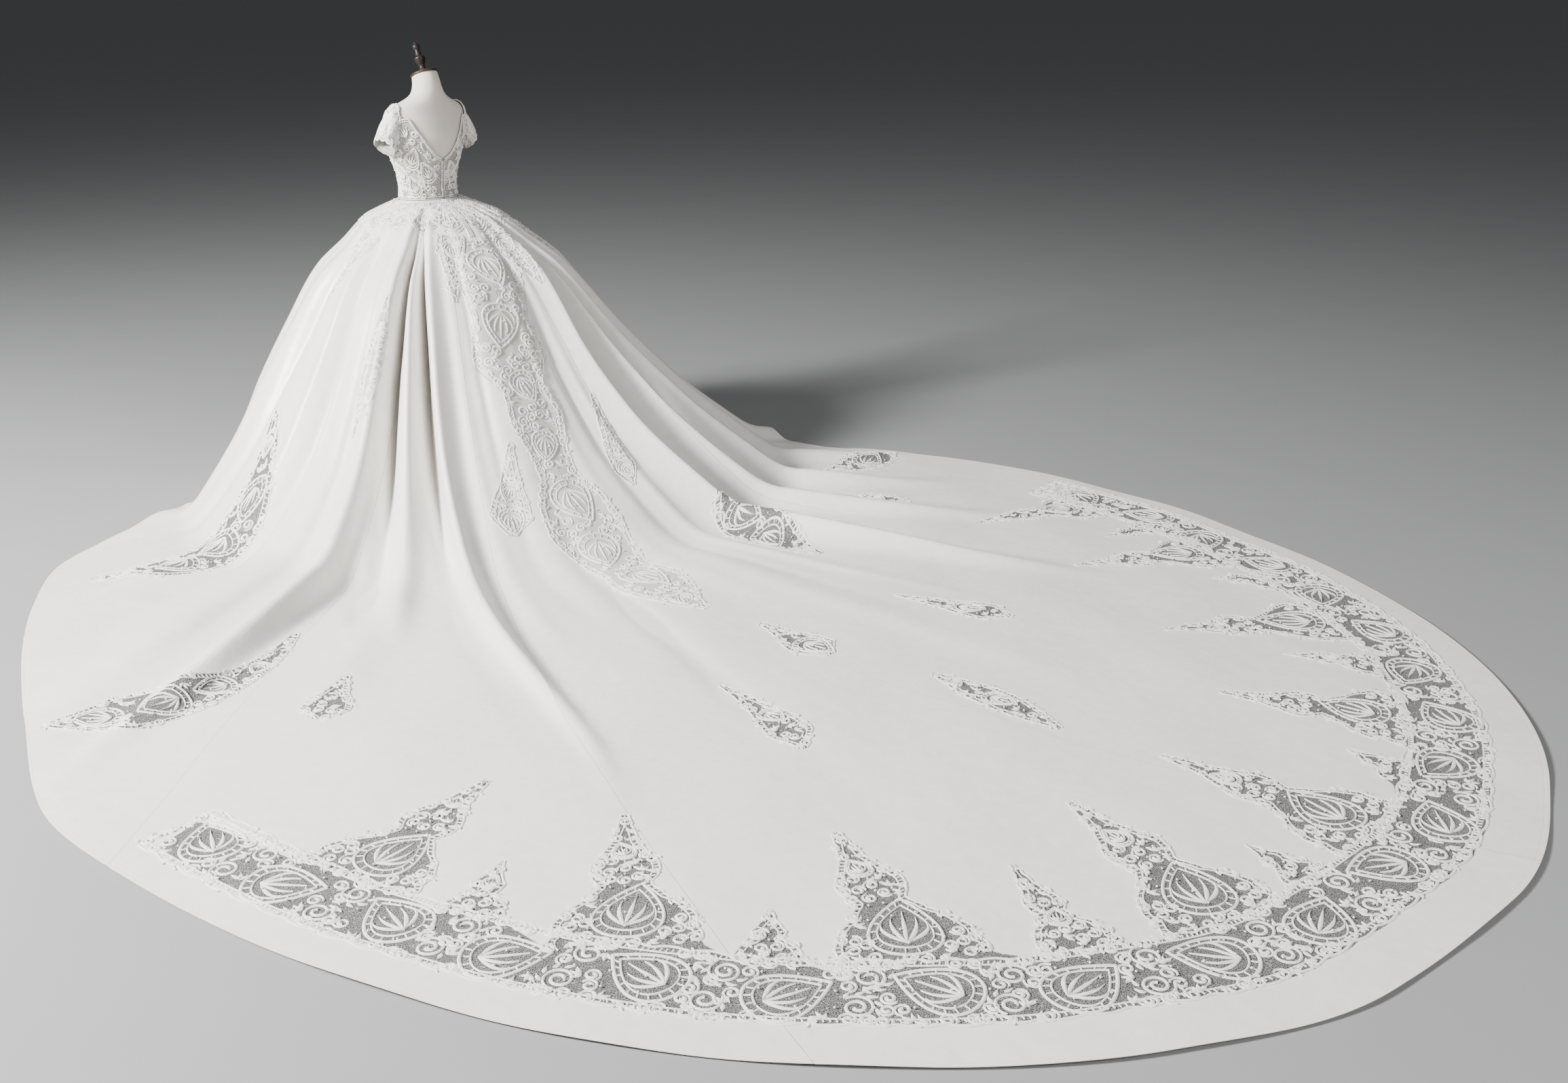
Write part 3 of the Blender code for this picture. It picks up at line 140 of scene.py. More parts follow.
# Finer creases that the solids leave out.
CREASES = table(
    FoldRow,
    (70, 71, 73, 74, 0.010, 0.010, 0.020, 0.040, 1.60, 0.000),
    (58, 59, 61, 62, 0.010, 0.012, 0.018, 0.040, 1.90, 0.000),
    (48, 50, 51, 52, -0.010, -0.006, 0.012, 0.030, 2.20, 0.000),
    (22, 20, 17, 14, 0.008, 0.006, 0.020, 0.040, 2.00, 0.000),
    (16, 14, 12, 9, -0.008, -0.004, 0.016, 0.040, 1.80, 0.000),
    (-6, -6, -7, -9, 0.006, 0.006, 0.020, 0.050, 2.10, 0.000),
    (-13, -13, -14, -15, -0.008, -0.005, 0.016, 0.030, 2.20, 0.000),
    (-18, -17, -18, -20, 0.008, 0.008, 0.016, 0.030, 2.40, 0.000),
    (-60, -61, -64, -66, 0.008, 0.010, 0.014, 0.030, 1.80, 0.000),
    (-71, -71, -72, -73, 0.010, 0.010, 0.016, 0.030, 1.50, 0.000),
    (-82, -82, -82, -82, 0.010, 0.010, 0.018, 0.030, 1.40, 0.000),
    (-93, -93, -93, -93, 0.010, 0.008, 0.018, 0.030, 1.20, 0.000),
    (-106, -106, -106, -106, 0.010, 0.006, 0.020, 0.030, 1.10, 0.000),
    (-118, -118, -118, -118, -0.008, 0.000, 0.020, 0.030, 1.10, 0.000),
    (-132, -132, -132, -132, 0.010, 0.006, 0.022, 0.030, 1.10, 0.000),
    (-146, -146, -146, -146, -0.008, 0.000, 0.020, 0.030, 1.10, 0.000),
    (-160, -160, -160, -160, 0.010, 0.006, 0.020, 0.030, 1.10, 0.000),
    (179, 179, 179, 179, 0.012, 0.006, 0.030, 0.040, 1.10, 0.000),
    (160, 160, 160, 160, 0.010, 0.006, 0.020, 0.030, 1.10, 0.000),
    (146, 146, 146, 146, -0.008, 0.000, 0.020, 0.030, 1.10, 0.000),
    (132, 132, 132, 132, 0.010, 0.006, 0.022, 0.030, 1.10, 0.000),
    (118, 118, 119, 119, -0.008, 0.000, 0.020, 0.030, 1.10, 0.000),
    (96, 104, 107, 107, 0.010, 0.006, 0.020, 0.030, 1.10, 0.000),
    (44, 46.5, 46.9, 48.4, 0.006, 0.016, 0.014, 0.020, 2.60, 0.000),
    (29, 26.5, 22.3, 17.2, 0.008, 0.014, 0.012, 0.018, 2.80, 0.000),
    (-27, -22.5, -25.8, -28.9, 0.008, 0.016, 0.014, 0.022, 2.60, 0.000),
    (-34, -36, -38.3, -41.4, 0.006, 0.014, 0.012, 0.022, 2.20, 0.000),
    (-40, -44.5, -49.3, -52.4, 0.006, 0.012, 0.012, 0.022, 1.90, 0.000),
    (4, 4, 5, 6.5, -0.004, -0.009, 0.030, 0.045, 3.10, 0.000),
    (-10, -10, -11, -12, 0.004, 0.009, 0.040, 0.070, 3.20, 0.000),
    (33, 34, 35, 36, 0.004, 0.009, 0.040, 0.080, 2.60, 0.000),
)

# Slow swells of the cloth on the floor: a direction, a length and a height for each.
SwellRow = namedtuple("SwellRow", "heading length height shift")
SWELLS = table(
    SwellRow,
    (15.0, 0.62, 0.0016, 0.4), (-38.0, 0.47, 0.0013, 2.1),
    (71.0, 0.83, 0.0018, 1.2), (-82.0, 0.36, 0.0009, 4.4),
)

# How much higher the folds stand on the floor than in the CAD model.
FLOOR_GAIN = 1.35

SEAM_DRIFT_START = 1.7
GoreRow = namedtuple("GoreRow", "name angle drift columns rows")
GORES = table(
    GoreRow,
    ("skirt_side_front_right", -130, 0.0, 64, 110), ("skirt_side_back_right", -80, 0.0, 96, 200),
    ("skirt_mid_back_right", -36.5, 0.0, 62, 230), ("skirt_back_right", -19, 2.0, 62, 255),
    ("skirt_back_left", 0, -4.0, 76, 255), ("skirt_mid_back_left", 19, -1.5, 76, 230),
    ("skirt_side_back_left", 42, -0.9, 96, 200), ("skirt_side_front_left", 80, 0.0, 64, 120),
    ("skirt_front", 130, 0.0, 110, 110),
)
ROW_CROWDING = 1.35
# A gore is a long wedge, so it is cut from a little under twice its own area.
WEDGE_SHARE = 1.9

# Which CAD pieces of lace each gore of the scene stands for, beside its own node.
GORE_COVERS = {
    "skirt_side_front_left": ("inset_side_left",),
    "skirt_side_back_left": ("inset_flap_left",),
    "skirt_mid_back_left": ("inset_drop_left", "border_left", "hem_band_left"),
    "skirt_back_left": ("inset_left_train",),
    "skirt_back_right": ("inset_centre_upper", "inset_centre_lower", "inset_right_train"),
    "skirt_mid_back_right": ("inset_right_fold", "border_right", "hem_band_right"),
    "skirt_side_back_right": ("inset_far_drop", "inset_far_side"),
    "skirt_side_front_right": ("inset_side_right",),
}


def smooth_step(t):
    t = np.clip(t, 0.0, 1.0)
    return t * t * (3.0 - 2.0 * t)


class Curve:
    """A smooth curve through rows, with no swing past them."""

    def __init__(self, rows, key, value, flat_ends=False):
        self.x = np.array([getattr(row, key) for row in rows], float)
        self.y = np.array([getattr(row, value) for row in rows], float)
        steps = np.diff(self.y) / np.diff(self.x)
        before, after = steps[:-1], steps[1:]
        product = before * after
        total = np.where(product > 0.0, before + after, 1.0)
        inner = np.where(product > 0.0, 2.0 * product / total, 0.0)
        ends = (0.0, 0.0) if flat_ends else (steps[0], steps[-1])
        self.slope = np.concatenate([[ends[0]], inner, [ends[1]]])

    def __call__(self, x):
        x = np.clip(x, self.x[0], self.x[-1])
        i = np.clip(np.searchsorted(self.x, x) - 1, 0, len(self.x) - 2)
        span = self.x[i + 1] - self.x[i]
        t = (x - self.x[i]) / span
        a = (1.0 + 2.0 * t) * (1.0 - t) ** 2
        b = t * (1.0 - t) ** 2
        c = t * t * (3.0 - 2.0 * t)
        d = t * t * (t - 1.0)
        low = a * self.y[i] + b * span * self.slope[i]
        return low + c * self.y[i + 1] + d * span * self.slope[i + 1]


bell_curve = Curve(BELL, "drop", "radius")
extra_curve = Curve(SPREAD, "angle", "extra", True)
power_curve = Curve(SPREAD, "angle", "power", True)
hem_radius = Curve(HEM, "angle", "radius", True)


def turn_between(a, b):
    return (a - b + 180.0) % 360.0 - 180.0


def plan(angle, radius):
    turn = np.radians(angle)
    return np.stack([radius * np.sin(turn), radius * np.cos(turn)], axis=-1)


def polar(points):
    return np.degrees(np.arctan2(points[..., 0], points[..., 1])), np.hypot(
        points[..., 0], points[..., 1]
    )


def waist_radius(angle):
    """Distance from the stand's axis to the oval waist, which is set off and turned."""
    ahead = plan(angle, 1.0)
    left = np.array([math.cos(BODY_TURN), math.sin(BODY_TURN)])
    back = np.array([-math.sin(BODY_TURN), math.cos(BODY_TURN)])
    centre = np.array(BODY_CENTRE)
    sx, sy = ahead @ left / WAIST_HALF_WIDTH, ahead @ back / WAIST_HALF_DEPTH
    cx, cy = centre @ left / WAIST_HALF_WIDTH, centre @ back / WAIST_HALF_DEPTH
    a = sx * sx + sy * sy
    b = sx * cx + sy * cy
    return (b + np.sqrt(b * b - a * (cx * cx + cy * cy - 1.0))) / a


def bell_radius(drop, angle):
    extra = extra_curve(angle) * np.minimum(drop, MOST_SWING) ** power_curve(angle)
    near_waist = np.maximum(0.0, 1.0 - drop / WAIST_BLEND) ** 2
    return bell_curve(drop) + extra + (waist_radius(angle) - NOMINAL_WAIST) * near_waist


# A table of the drop by direction and radius, which the height is read from.
TABLE_TURN = 0.5
TABLE_STEP = 0.004
TABLE_REACH = 1.9
DROPS = np.linspace(0.0, BELL[-1].drop, 481)
table_angles = np.arange(-180.0, 180.0 + TABLE_TURN, TABLE_TURN)
table_radii = np.arange(0.0, TABLE_REACH, TABLE_STEP)
drop_table = np.array(
    [np.interp(table_radii, bell_radius(DROPS, turn), DROPS) for turn in table_angles]
)


def bell_height(points):
    """Height of the unfolded skirt, which bends onto the floor in a soft curve."""
    angle, radius = polar(points)
    row = np.clip((angle + 180.0) / TABLE_TURN, 0.0, len(table_angles) - 1.001)
    column = np.clip(radius / TABLE_STEP, 0.0, len(table_radii) - 1.001)
    i, j = row.astype(int), column.astype(int)
    s, t = row - i, column - j
    low = drop_table[i, j] * (1.0 - s) + drop_table[i + 1, j] * s
    high = drop_table[i, j + 1] * (1.0 - s) + drop_table[i + 1, j + 1] * s
    height = WAIST_HEIGHT * (1.0 - low * (1.0 - t) - high * t)
    soft = (np.clip(height, -LANDING_SOFTNESS, LANDING_SOFTNESS) + LANDING_SOFTNESS) ** 2
    return np.where(height > LANDING_SOFTNESS, height, soft / (4.0 * LANDING_SOFTNESS))


def unit(vectors):
    return vectors / np.maximum(np.linalg.norm(vectors, axis=-1, keepdims=True), 1e-12)


def bell_normal(points):
    here = bell_height(points)
    across = bell_height(points + [NORMAL_STEP, 0.0])
    along = bell_height(points + [0.0, NORMAL_STEP])
    slopes = [here - across, here - along, np.full_like(here, NORMAL_STEP)]
    return unit(np.stack(slopes, axis=-1))


def fold_angle(fold, radius):
    values = (fold.top, fold.mid, fold.low, fold.far)
    found = np.full_like(radius, values[0])
    for i in range(len(values) - 1):
        span = FOLD_STATIONS[i + 1] - FOLD_STATIONS[i]
        linear = np.clip((radius - FOLD_STATIONS[i]) / span, 0.0, 1.0)
        share = 0.5 * (smooth_step(linear) + linear)
        found = np.where(
            radius > FOLD_STATIONS[i], values[i] + (values[i + 1] - values[i]) * share, found
        )
    return found


def skirt_inner(points):
    """The cloth's inner face over these places of the plan."""
    angle, radius = polar(points)
    normal = bell_normal(points)
    start = waist_radius(angle) + FOLD_START
    rise = smooth_step((radius - start) / (FOLD_MIDDLE - start))
    fall = smooth_step((radius - FOLD_MIDDLE) / (FOLD_FLOOR - FOLD_MIDDLE))
    narrow = WIDTH_AT_WAIST + (1.0 - WIDTH_AT_WAIST) * smooth_step(radius / FOLD_MIDDLE)
    lift = np.zeros_like(radius)
    slide = np.zeros_like(radius)
    for fold in FOLDS + CREASES:
        height = rise * (fold.height + (fold.floor_height * FLOOR_GAIN - fold.height) * fall)
        if fold.end > FOLD_FLOOR:
            height = height * (1.0 - smooth_step((radius - FOLD_FLOOR) / (fold.end - FOLD_FLOOR)))
        width = (fold.width + (fold.floor_width - fold.width) * fall) * narrow
        offset = np.radians(turn_between(angle, fold_angle(fold, radius))) * radius
        share = offset / width
        bump = np.exp(-np.minimum(share * share, 60.0)) - math.exp(-(FOLD_REACH**2))
        bump = np.where(np.abs(share) > FOLD_REACH, 0.0, bump)
        lift += height * bump
        slide += fold.lean * height / fold.height * bump
    on_floor = smooth_step((radius - FOLD_MIDDLE) / FOLD_MIDDLE)
    for swell in SWELLS:
        way = plan(swell.heading, 1.0)
        phase = points @ way * 2.0 * math.pi / swell.length + swell.shift
        lift += swell.height * on_floor * (1.0 + np.sin(phase))
    base = np.concatenate([points, bell_height(points)[..., None]], axis=-1)
    turn = np.radians(angle)
    sideways = np.stack([np.cos(turn), -np.sin(turn), np.zeros_like(turn)], axis=-1)
    found = base + normal * lift[..., None] + sideways * slide[..., None]
    found[..., 2] = np.maximum(found[..., 2], 0.0)
    return found


def skirt_surface(points, lift=CLOTH_WALL):
    """The cloth's outer face, raised by lift over its inner one, and its normals."""
    here = skirt_inner(points)
    across = skirt_inner(points + [NORMAL_STEP, 0.0]) - here
    along = skirt_inner(points + [0.0, NORMAL_STEP]) - here
    normal = unit(np.cross(across, along))
    return here + normal * lift, normal


# Lace outlines on the plan, as in the CAD model, but with spires that step in more and a
# wider crescent on the left side.

BORDER_INSET = 0.14
BORDER_DEPTH = 0.20
BORDER_FROM = 39.5
BORDER_TO = -50.0
BORDER_STEPS = 180
BORDER_WAVE = 0.010
BORDER_WAVES = 46
SpireRow = namedtuple("SpireRow", "foot_angle tip_angle tip_radius half_width")
SPIRES = table(
    SpireRow,
    (30.0, 23.9, 2.52, 0.150), (25.2, 23.6, 2.90, 0.065), (19.8, 17.6, 2.78, 0.150),
    (15.4, 14.2, 3.27, 0.065), (10.9, 9.3, 3.04, 0.150), (5.9, 4.6, 3.36, 0.080),
    (0.8, -0.7, 3.23, 0.150), (-3.4, -3.5, 3.61, 0.060), (-7.7, -7.1, 3.23, 0.150),
    (-12.6, -13.0, 3.56, 0.060), (-17.3, -15.0, 3.16, 0.150), (-22.4, -21.3, 3.22, 0.070),
    (-27.2, -21.1, 2.86, 0.150), (-31.9, -31.0, 2.90, 0.070), (-36.0, -30.0, 2.46, 0.140),
    (-40.2, -37.2, 2.51, 0.060), (-44.8, -37.5, 2.05, 0.120),
)
SPIRE_RISES = (0.0, 0.22, 0.42, 0.56, 0.76, 1.0)
SPIRE_WIDTHS = (1.0, 0.92, 0.34, 0.52, 0.20, 0.06)
SPIRE_SCALLOP = 0.014
SPIRE_SCALLOPS = 9

SpineRow = namedtuple("SpineRow", "angle radius width")
SPINE = table(
    SpineRow,
    (0.0, 0.300, 0.070), (0.0, 0.370, 0.150), (0.0, 0.440, 0.180), (1.5, 0.505, 0.150),
    (2.0, 0.580, 0.205), (1.5, 0.645, 0.115), (0.5, 0.720, 0.150), (0.5, 0.800, 0.105),
    (0.5, 0.860, 0.100), (0.5, 0.950, 0.180), (0.5, 1.050, 0.205), (0.0, 1.150, 0.170),
    (0.0, 1.270, 0.135), (-0.5, 1.400, 0.185), (-0.5, 1.500, 0.160), (-0.5, 1.620, 0.085),
    (-1.0, 1.710, 0.012),
)
TAPER = (0.95, 1.00, 0.80, 0.60, 0.40, 0.10)
LEAF = (0.12, 0.60, 0.95, 1.00, 0.70, 0.15)
DROP = (0.10, 0.30, 0.50, 0.85, 1.00, 0.12)
MotifRow = namedtuple(
    "MotifRow", "name start_angle start_radius end_angle end_radius bend width shape"
)
APPLIQUES = table(
    MotifRow,
    ("lace_pendant_back_left", 15, 0.280, 19, 0.470, 0.000, 0.070, TAPER),
    ("lace_pendant_back_right", -18, 0.280, -22, 0.460, 0.000, 0.070, TAPER),
    ("lace_strip_left", 46, 0.460, 49, 0.740, 0.000, 0.040, LEAF),
    ("lace_hip_left", 76, 0.290, 80, 0.480, 0.000, 0.070, TAPER),
    ("lace_hip_right", -70, 0.290, -73, 0.480, 0.000, 0.070, TAPER),
    ("lace_drop_left", 10, 0.760, 15, 1.020, 0.000, 0.105, DROP),
    ("lace_drop_right", -19, 0.710, -15, 0.965, 0.000, 0.065, DROP),
    ("lace_front_left", 150, 0.300, 150, 0.560, 0.000, 0.110, TAPER),
    ("lace_front_right", -150, 0.300, -150, 0.560, 0.000, 0.110, TAPER),
    ("lace_front_centre", 180, 0.300, 180, 0.620, 0.000, 0.130, TAPER),
)
INSETS = table(
    MotifRow,
    ("inset_side_left", 83, 0.700, 78, 1.470, -0.130, 0.185, LEAF),
    ("inset_flap_left", 43, 1.560, 53, 2.270, -0.140, 0.190, DROP),
    ("inset_drop_left", 34.8, 1.860, 35.2, 2.130, 0.000, 0.120, DROP),
    ("inset_centre_upper", -3.0, 1.900, -3.0, 2.220, 0.000, 0.135, DROP),
    ("inset_centre_lower", -6.3, 2.500, -6.0, 2.960, 0.000, 0.100, LEAF),
    ("inset_left_train", 6.5, 2.200, 6.4, 2.650, -0.020, 0.110, DROP),
    ("inset_right_train", -16.0, 2.060, -17.5, 2.450, 0.000, 0.115, DROP),
    ("inset_right_fold", -29.5, 1.060, -21.6, 1.660, 0.020, 0.150, LEAF),
    ("inset_far_drop", -45.0, 1.580, -43.0, 1.790, 0.000, 0.070, LEAF),
    ("inset_far_side", -56.0, 1.440, -64.0, 1.770, 0.030, 0.150, LEAF),
    ("inset_side_right", -83, 0.700, -79, 1.170, 0.000, 0.080, DROP),
)
# Lace spreads a little wider than its solids.
LAID_GAIN = 1.35
INSET_GAIN = 1.15
YOKE_RADIUS = 0.262
YOKE_SCALLOP = 0.016
YOKE_SCALLOPS = 16


def border_outer(angle):
    return hem_radius(angle) - BORDER_INSET


def spire_axis(spire):
    """Foot and tip of a spire on the plan."""
    foot = plan(spire.foot_angle, border_outer(spire.foot_angle) - BORDER_DEPTH)
    tip = plan(spire.tip_angle, spire.tip_radius)
    return foot, tip


def spire_half(spire, rise):
    """Half width of a spire, with its scallops."""
    scallop = SPIRE_SCALLOP * np.abs(np.sin(rise * math.pi * SPIRE_SCALLOPS))
    return (spire.half_width * np.interp(rise, SPIRE_RISES, SPIRE_WIDTHS) + scallop * (1.0 - rise))


def border_outline():
    angles = np.linspace(BORDER_FROM, BORDER_TO, BORDER_STEPS)
    wave = BORDER_WAVE * np.abs(np.sin((angles - BORDER_FROM) * BORDER_WAVES / 90.0 * math.pi))
    ring = list(plan(angles, border_outer(angles) + wave))
    for spire in reversed(SPIRES):
        foot, tip = spire_axis(spire)
        ahead = unit(tip - foot)
        left = np.array([-ahead[1], ahead[0]])
        rise = np.linspace(0.0, 1.0, 60)[:, None]
        half = spire_half(spire, rise)
        sides = [list(foot + (tip - foot) * rise + left * side * half) for side in (1.0, -1.0)]
        if sides[0][0][0] > sides[1][0][0]:
            sides.reverse()
        ring += sides[0] + sides[1][::-1]
    ring.append(plan(BORDER_FROM - 1.0, border_outer(BORDER_FROM) - 0.12))
    return np.array(ring)


def left_of(path):
    """The way to the left at each place along a path."""
    ahead = unit(np.gradient(path, axis=0))
    return np.stack([-ahead[:, 1], ahead[:, 0]], axis=1)


def ribbon_outline(path, widths):
    path = np.asarray(path)
    side = left_of(path) * np.asarray(widths)[:, None] / 2.0
    return np.concatenate([path + side, (path - side)[::-1]])


def motif_path(motif, count):
    """Plan points along a motif, and its half width at each."""
    start = plan(motif.start_angle, motif.start_radius)
    end = plan(motif.end_angle, motif.end_radius)
    ahead = unit(end - start)
    left = np.array([ahead[1], -ahead[0]])
    share = np.linspace(0.0, 1.0, count)[:, None]
    path = start + (end - start) * share + left * motif.bend * 4.0 * share * (1.0 - share)
    knots = np.linspace(0.0, 1.0, len(motif.shape))
    gain = INSET_GAIN if motif.name.startswith("inset") else LAID_GAIN
    return path, motif.width * gain / 2.0 * np.interp(share[:, 0], knots, motif.shape)


def motif_outline(motif):
    path, half = motif_path(motif, 24)
    return ribbon_outline(path, half * 2.0)


def spine_outline():
    path = np.array([plan(row.angle, row.radius) for row in SPINE])
    return ribbon_outline(path, [row.width * LAID_GAIN for row in SPINE])


def inner_distance(points, ring, reach):
    """Distance inside the closed ring, negative outside, for the points near it."""
    found = np.full(len(points), -reach)
    low, high = ring.min(axis=0) - reach, ring.max(axis=0) + reach
    near = np.nonzero(((points > low) & (points < high)).all(axis=1))[0]
    if not len(near):
        return found
    p = points[near]
    best = np.full(len(p), reach)
    within = np.zeros(len(p), bool)
    for a, b in zip(ring, np.roll(ring, -1, axis=0)):
        span = b - a
        share = np.clip((p - a) @ span / max(span @ span, 1e-12), 0.0, 1.0)
        gap = p - a - share[:, None] * span
        best = np.minimum(best, np.hypot(gap[:, 0], gap[:, 1]))
        if a[1] != b[1]:
            crosses = (a[1] > p[:, 1]) != (b[1] > p[:, 1])
            x = (b[0] - a[0]) * (p[:, 1] - a[1]) / (b[1] - a[1]) + a[0]
            within ^= crosses & (p[:, 0] < x)
    found[near] = np.where(within, best, -best)
    return found


# Meshes.


def mesh_from(bm, name):
    """A new mesh with the shape that was worked on."""
    mesh = bpy.data.meshes.new(name)
    bm.to_mesh(mesh)
    bm.free()
    return mesh


def move_corners(mesh, points):
    mesh.vertices.foreach_set("co", np.ascontiguousarray(points, np.float32).ravel())
    mesh.update()


def add_object(name, mesh):
    made = bpy.data.objects.new(name, mesh)
    bpy.context.scene.collection.objects.link(made)
    return made


def grid_mesh(name, columns, rows, points):
    """A grid with its corners moved to points, rows by columns, as a new object."""
    bm = bmesh.new()
    bmesh.ops.create_grid(bm, x_segments=columns, y_segments=rows, size=1.0)
    for edge in bm.edges:
        edge.smooth = not edge.is_boundary
    mesh = mesh_from(bm, name)
    move_corners(mesh, points)
    mesh.shade_smooth()
    return add_object(name, mesh)


FACES_TRIED = 400


def turn_outward(made, outward):
    """Reverses every face if the faces look against the outward ways of their corners."""
    mesh = made.data
    step = max(1, len(mesh.polygons) // FACES_TRIED)
    flow = 0.0
    for face in list(mesh.polygons)[::step]:
        flow += float(np.dot(face.normal, outward[face.vertices[0]]))
    if flow < 0.0:
        mesh.flip_normals()


def paint(made, name, values):
    """Keeps a number for every corner of the mesh, for its material to read."""
    layer = made.data.attributes.new(name, "FLOAT", "POINT")
    layer.data.foreach_set("value", np.ascontiguousarray(values, np.float32))


def wall(made, thickness):
    """Gives a sheet its thickness, on its inner side."""
    solid = made.modifiers.new("wall", "SOLIDIFY")
    solid.thickness = thickness
    solid.offset = -1.0


def mesh_area(made):
    return sum(face.area for face in made.data.polygons)


# Corded lace. A stroke is a run of places on a flat ground, with a width at each.

Stroke = namedtuple("Stroke", "path widths rise")
BAND_PITCH = 0.29
BAND_START = 0.13
BAND_DROP = (0.185, 0.150)
VOLUTE_SIZE = 0.036
VOLUTE_ROOM = 0.062
BEAD_SIZE = 0.0030
BEAD_LIFT = 0.002
CORD = 0.0050
FINE_CORD = 0.0034
RUNG = 0.0028
FROND = 0.0105
EDGE_STEP = 0.012
RUNG_PITCH = 0.013


def even(path, width, rise):
    """A stroke of the same width all along."""
    return Stroke(path, np.full(len(path), width), rise)


def leaf(path, width, rise=1.1):
    """A stroke that swells and ends in points."""
    share = np.linspace(0.0, 1.0, len(path))
    return Stroke(path, width * np.maximum(np.sin(math.pi * share**0.75), 0.08), rise)


def pair(x, y):
    """Places from two rows, or from a row and a number."""
    return np.stack(np.broadcast_arrays(x, y), axis=1)


def spin(radius, turn):
    return np.stack([radius * np.cos(turn), radius * np.sin(turn)], axis=1)


class Ground:
    """A long strip of lace: places by the distance along it and out from its middle."""

    def __init__(self, path, half):
        self.path = np.asarray(path, float)
        self.half = np.asarray(half, float)
        steps = np.linalg.norm(np.diff(self.path, axis=0), axis=1)
        self.along = np.concatenate([[0.0], np.cumsum(steps)])
        self.length = self.along[-1]
        self.left = left_of(self.path)

    def width_at(self, s):
        return np.interp(s, self.along, self.half)

    def place(self, s, out):
        columns = []
        for k in (0, 1):
            base = np.interp(s, self.along, self.path[:, k])
            side = np.interp(s, self.along, self.left[:, k])
            columns.append(base + side * out)
        return np.stack(columns, axis=-1)


def edge_strokes(ground, ripple=0.004, pitch=0.030, bold=1.2):
    """Two cords along each edge, with a row of short rungs between them."""
    found = []
    s = np.linspace(0.0, ground.length, max(8, int(ground.length / EDGE_STEP)))
    half = ground.width_at(s)
    for side in (1.0, -1.0):
        wave = ripple * np.abs(np.sin(math.pi * s / pitch))
        found.append(even(ground.place(s, side * (half - 0.003 + wave)), CORD * bold, 1.0))
        inner = np.maximum(half - 0.016, 0.0) * side
        found.append(even(ground.place(s, inner), FINE_CORD * bold, 0.8))
        for at in np.arange(0.01, ground.length - 0.01, RUNG_PITCH):
            reach = float(ground.width_at(at))
            if reach > 0.030:
                outs = np.linspace(reach - 0.015, reach - 0.004, 3) * side
                run = np.linspace(at, at + 0.003, 3)
                found.append(even(ground.place(run, outs), RUNG * bold, 0.7))
    return found


def paisley_strokes(centre, size, heading):
    """A drop with a curled tip: its rim and two smaller ones inside."""
    found = []
    turn = np.linspace(0.0, 1.0, 26) * 2.0 * math.pi
    c, s = math.cos(heading), math.sin(heading)
    for scale, width in ((1.0, CORD * 1.2), (0.68, FINE_CORD), (0.36, CORD)):
        x = np.cos(turn) * size * scale * 0.55 * (1.0 - 0.45 * np.cos(turn / 2.0) ** 2)
        y = np.sin(turn) * size * scale * 0.42 * np.sin(turn / 2.0)
        y = y + 0.35 * size * scale * np.maximum(np.cos(turn), 0.0) ** 2 * 0.4
        found.append(even(centre + pair(x * c - y * s, x * s + y * c), width, 1.2))
    return found


def lay_strokes(name, strokes, surface):
    """All strokes as one mesh of low ridges, set on a surface that a function gives."""
    lefts, middles, rights, rises, ends = [], [], [], [], []
    for stroke in strokes:
        path = np.asarray(stroke.path)
        side = left_of(path) * (stroke.widths / 2.0)[:, None]
        lefts.append(path + side)
        middles.append(path)
        rights.append(path - side)
        rises.append(np.full(len(path), stroke.rise))
        ends.append(len(path))
    count = sum(ends)
    points, normals = surface(np.concatenate(rights + middles + lefts))
    lift = np.full(3 * count, LACE_GAP)
    lift[count : 2 * count] += CORD_RISE * np.concatenate(rises)
    bm = bmesh.new()
    bmesh.ops.create_grid(bm, x_segments=count - 1, y_segments=2, size=1.0)
    bm.faces.ensure_lookup_table()
    bm.verts.index_update()
    last = np.zeros(count, bool)
    last[np.cumsum(ends) - 1] = True
    links = [f for f in bm.faces if last[min(v.index % count for v in f.verts)]]
    bmesh.ops.delete(bm, geom=links, context="FACES_ONLY")
    mesh = mesh_from(bm, name)
    move_corners(mesh, points + normals * lift[:, None])
    made = add_object(name, mesh)
    turn_outward(made, normals)
    mesh.shade_smooth()
    return made


def bead_mesh(name, places, normals, radius):
    """Small beads, half sunk in the lace."""
    bead = bmesh.new()
    bmesh.ops.create_icosphere(bead, subdivisions=1, radius=radius)
    pattern = mesh_from(bead, name + "_pattern")
    bm = bmesh.new()
    size = len(pattern.vertices)
    for _ in range(len(places)):
        bm.from_mesh(pattern)
    mesh = mesh_from(bm, name)
    corners = np.empty(size * len(places) * 3, np.float32)
    mesh.vertices.foreach_get("co", corners)
    spread = np.repeat(places + normals * radius * 0.6, size, axis=0)
    move_corners(mesh, corners.reshape(-1, 3) + spread)
    bpy.data.meshes.remove(pattern)
    mesh.shade_smooth()
    return add_object(name, mesh)


# Materials.


class Wire:
    """A shader value that Python arithmetic works on."""

    def __init__(self, tree, socket):
        self.tree = tree
        self.socket = socket

    def math(self, operation, *others):
        node = self.tree.nodes.new("ShaderNodeMath")
        node.operation = operation
        for socket, value in zip(node.inputs, (self, *others)):
            join(self.tree, socket, value)
        return Wire(self.tree, node.outputs[0])

    def __add__(self, other):
        return self.math("ADD", other)

    def __sub__(self, other):
        return self.math("SUBTRACT", other)

    def __rsub__(self, other):
        return (self * -1.0) + other

    def __mul__(self, other):
        return self.math("MULTIPLY", other)

    __radd__ = __add__
    __rmul__ = __mul__


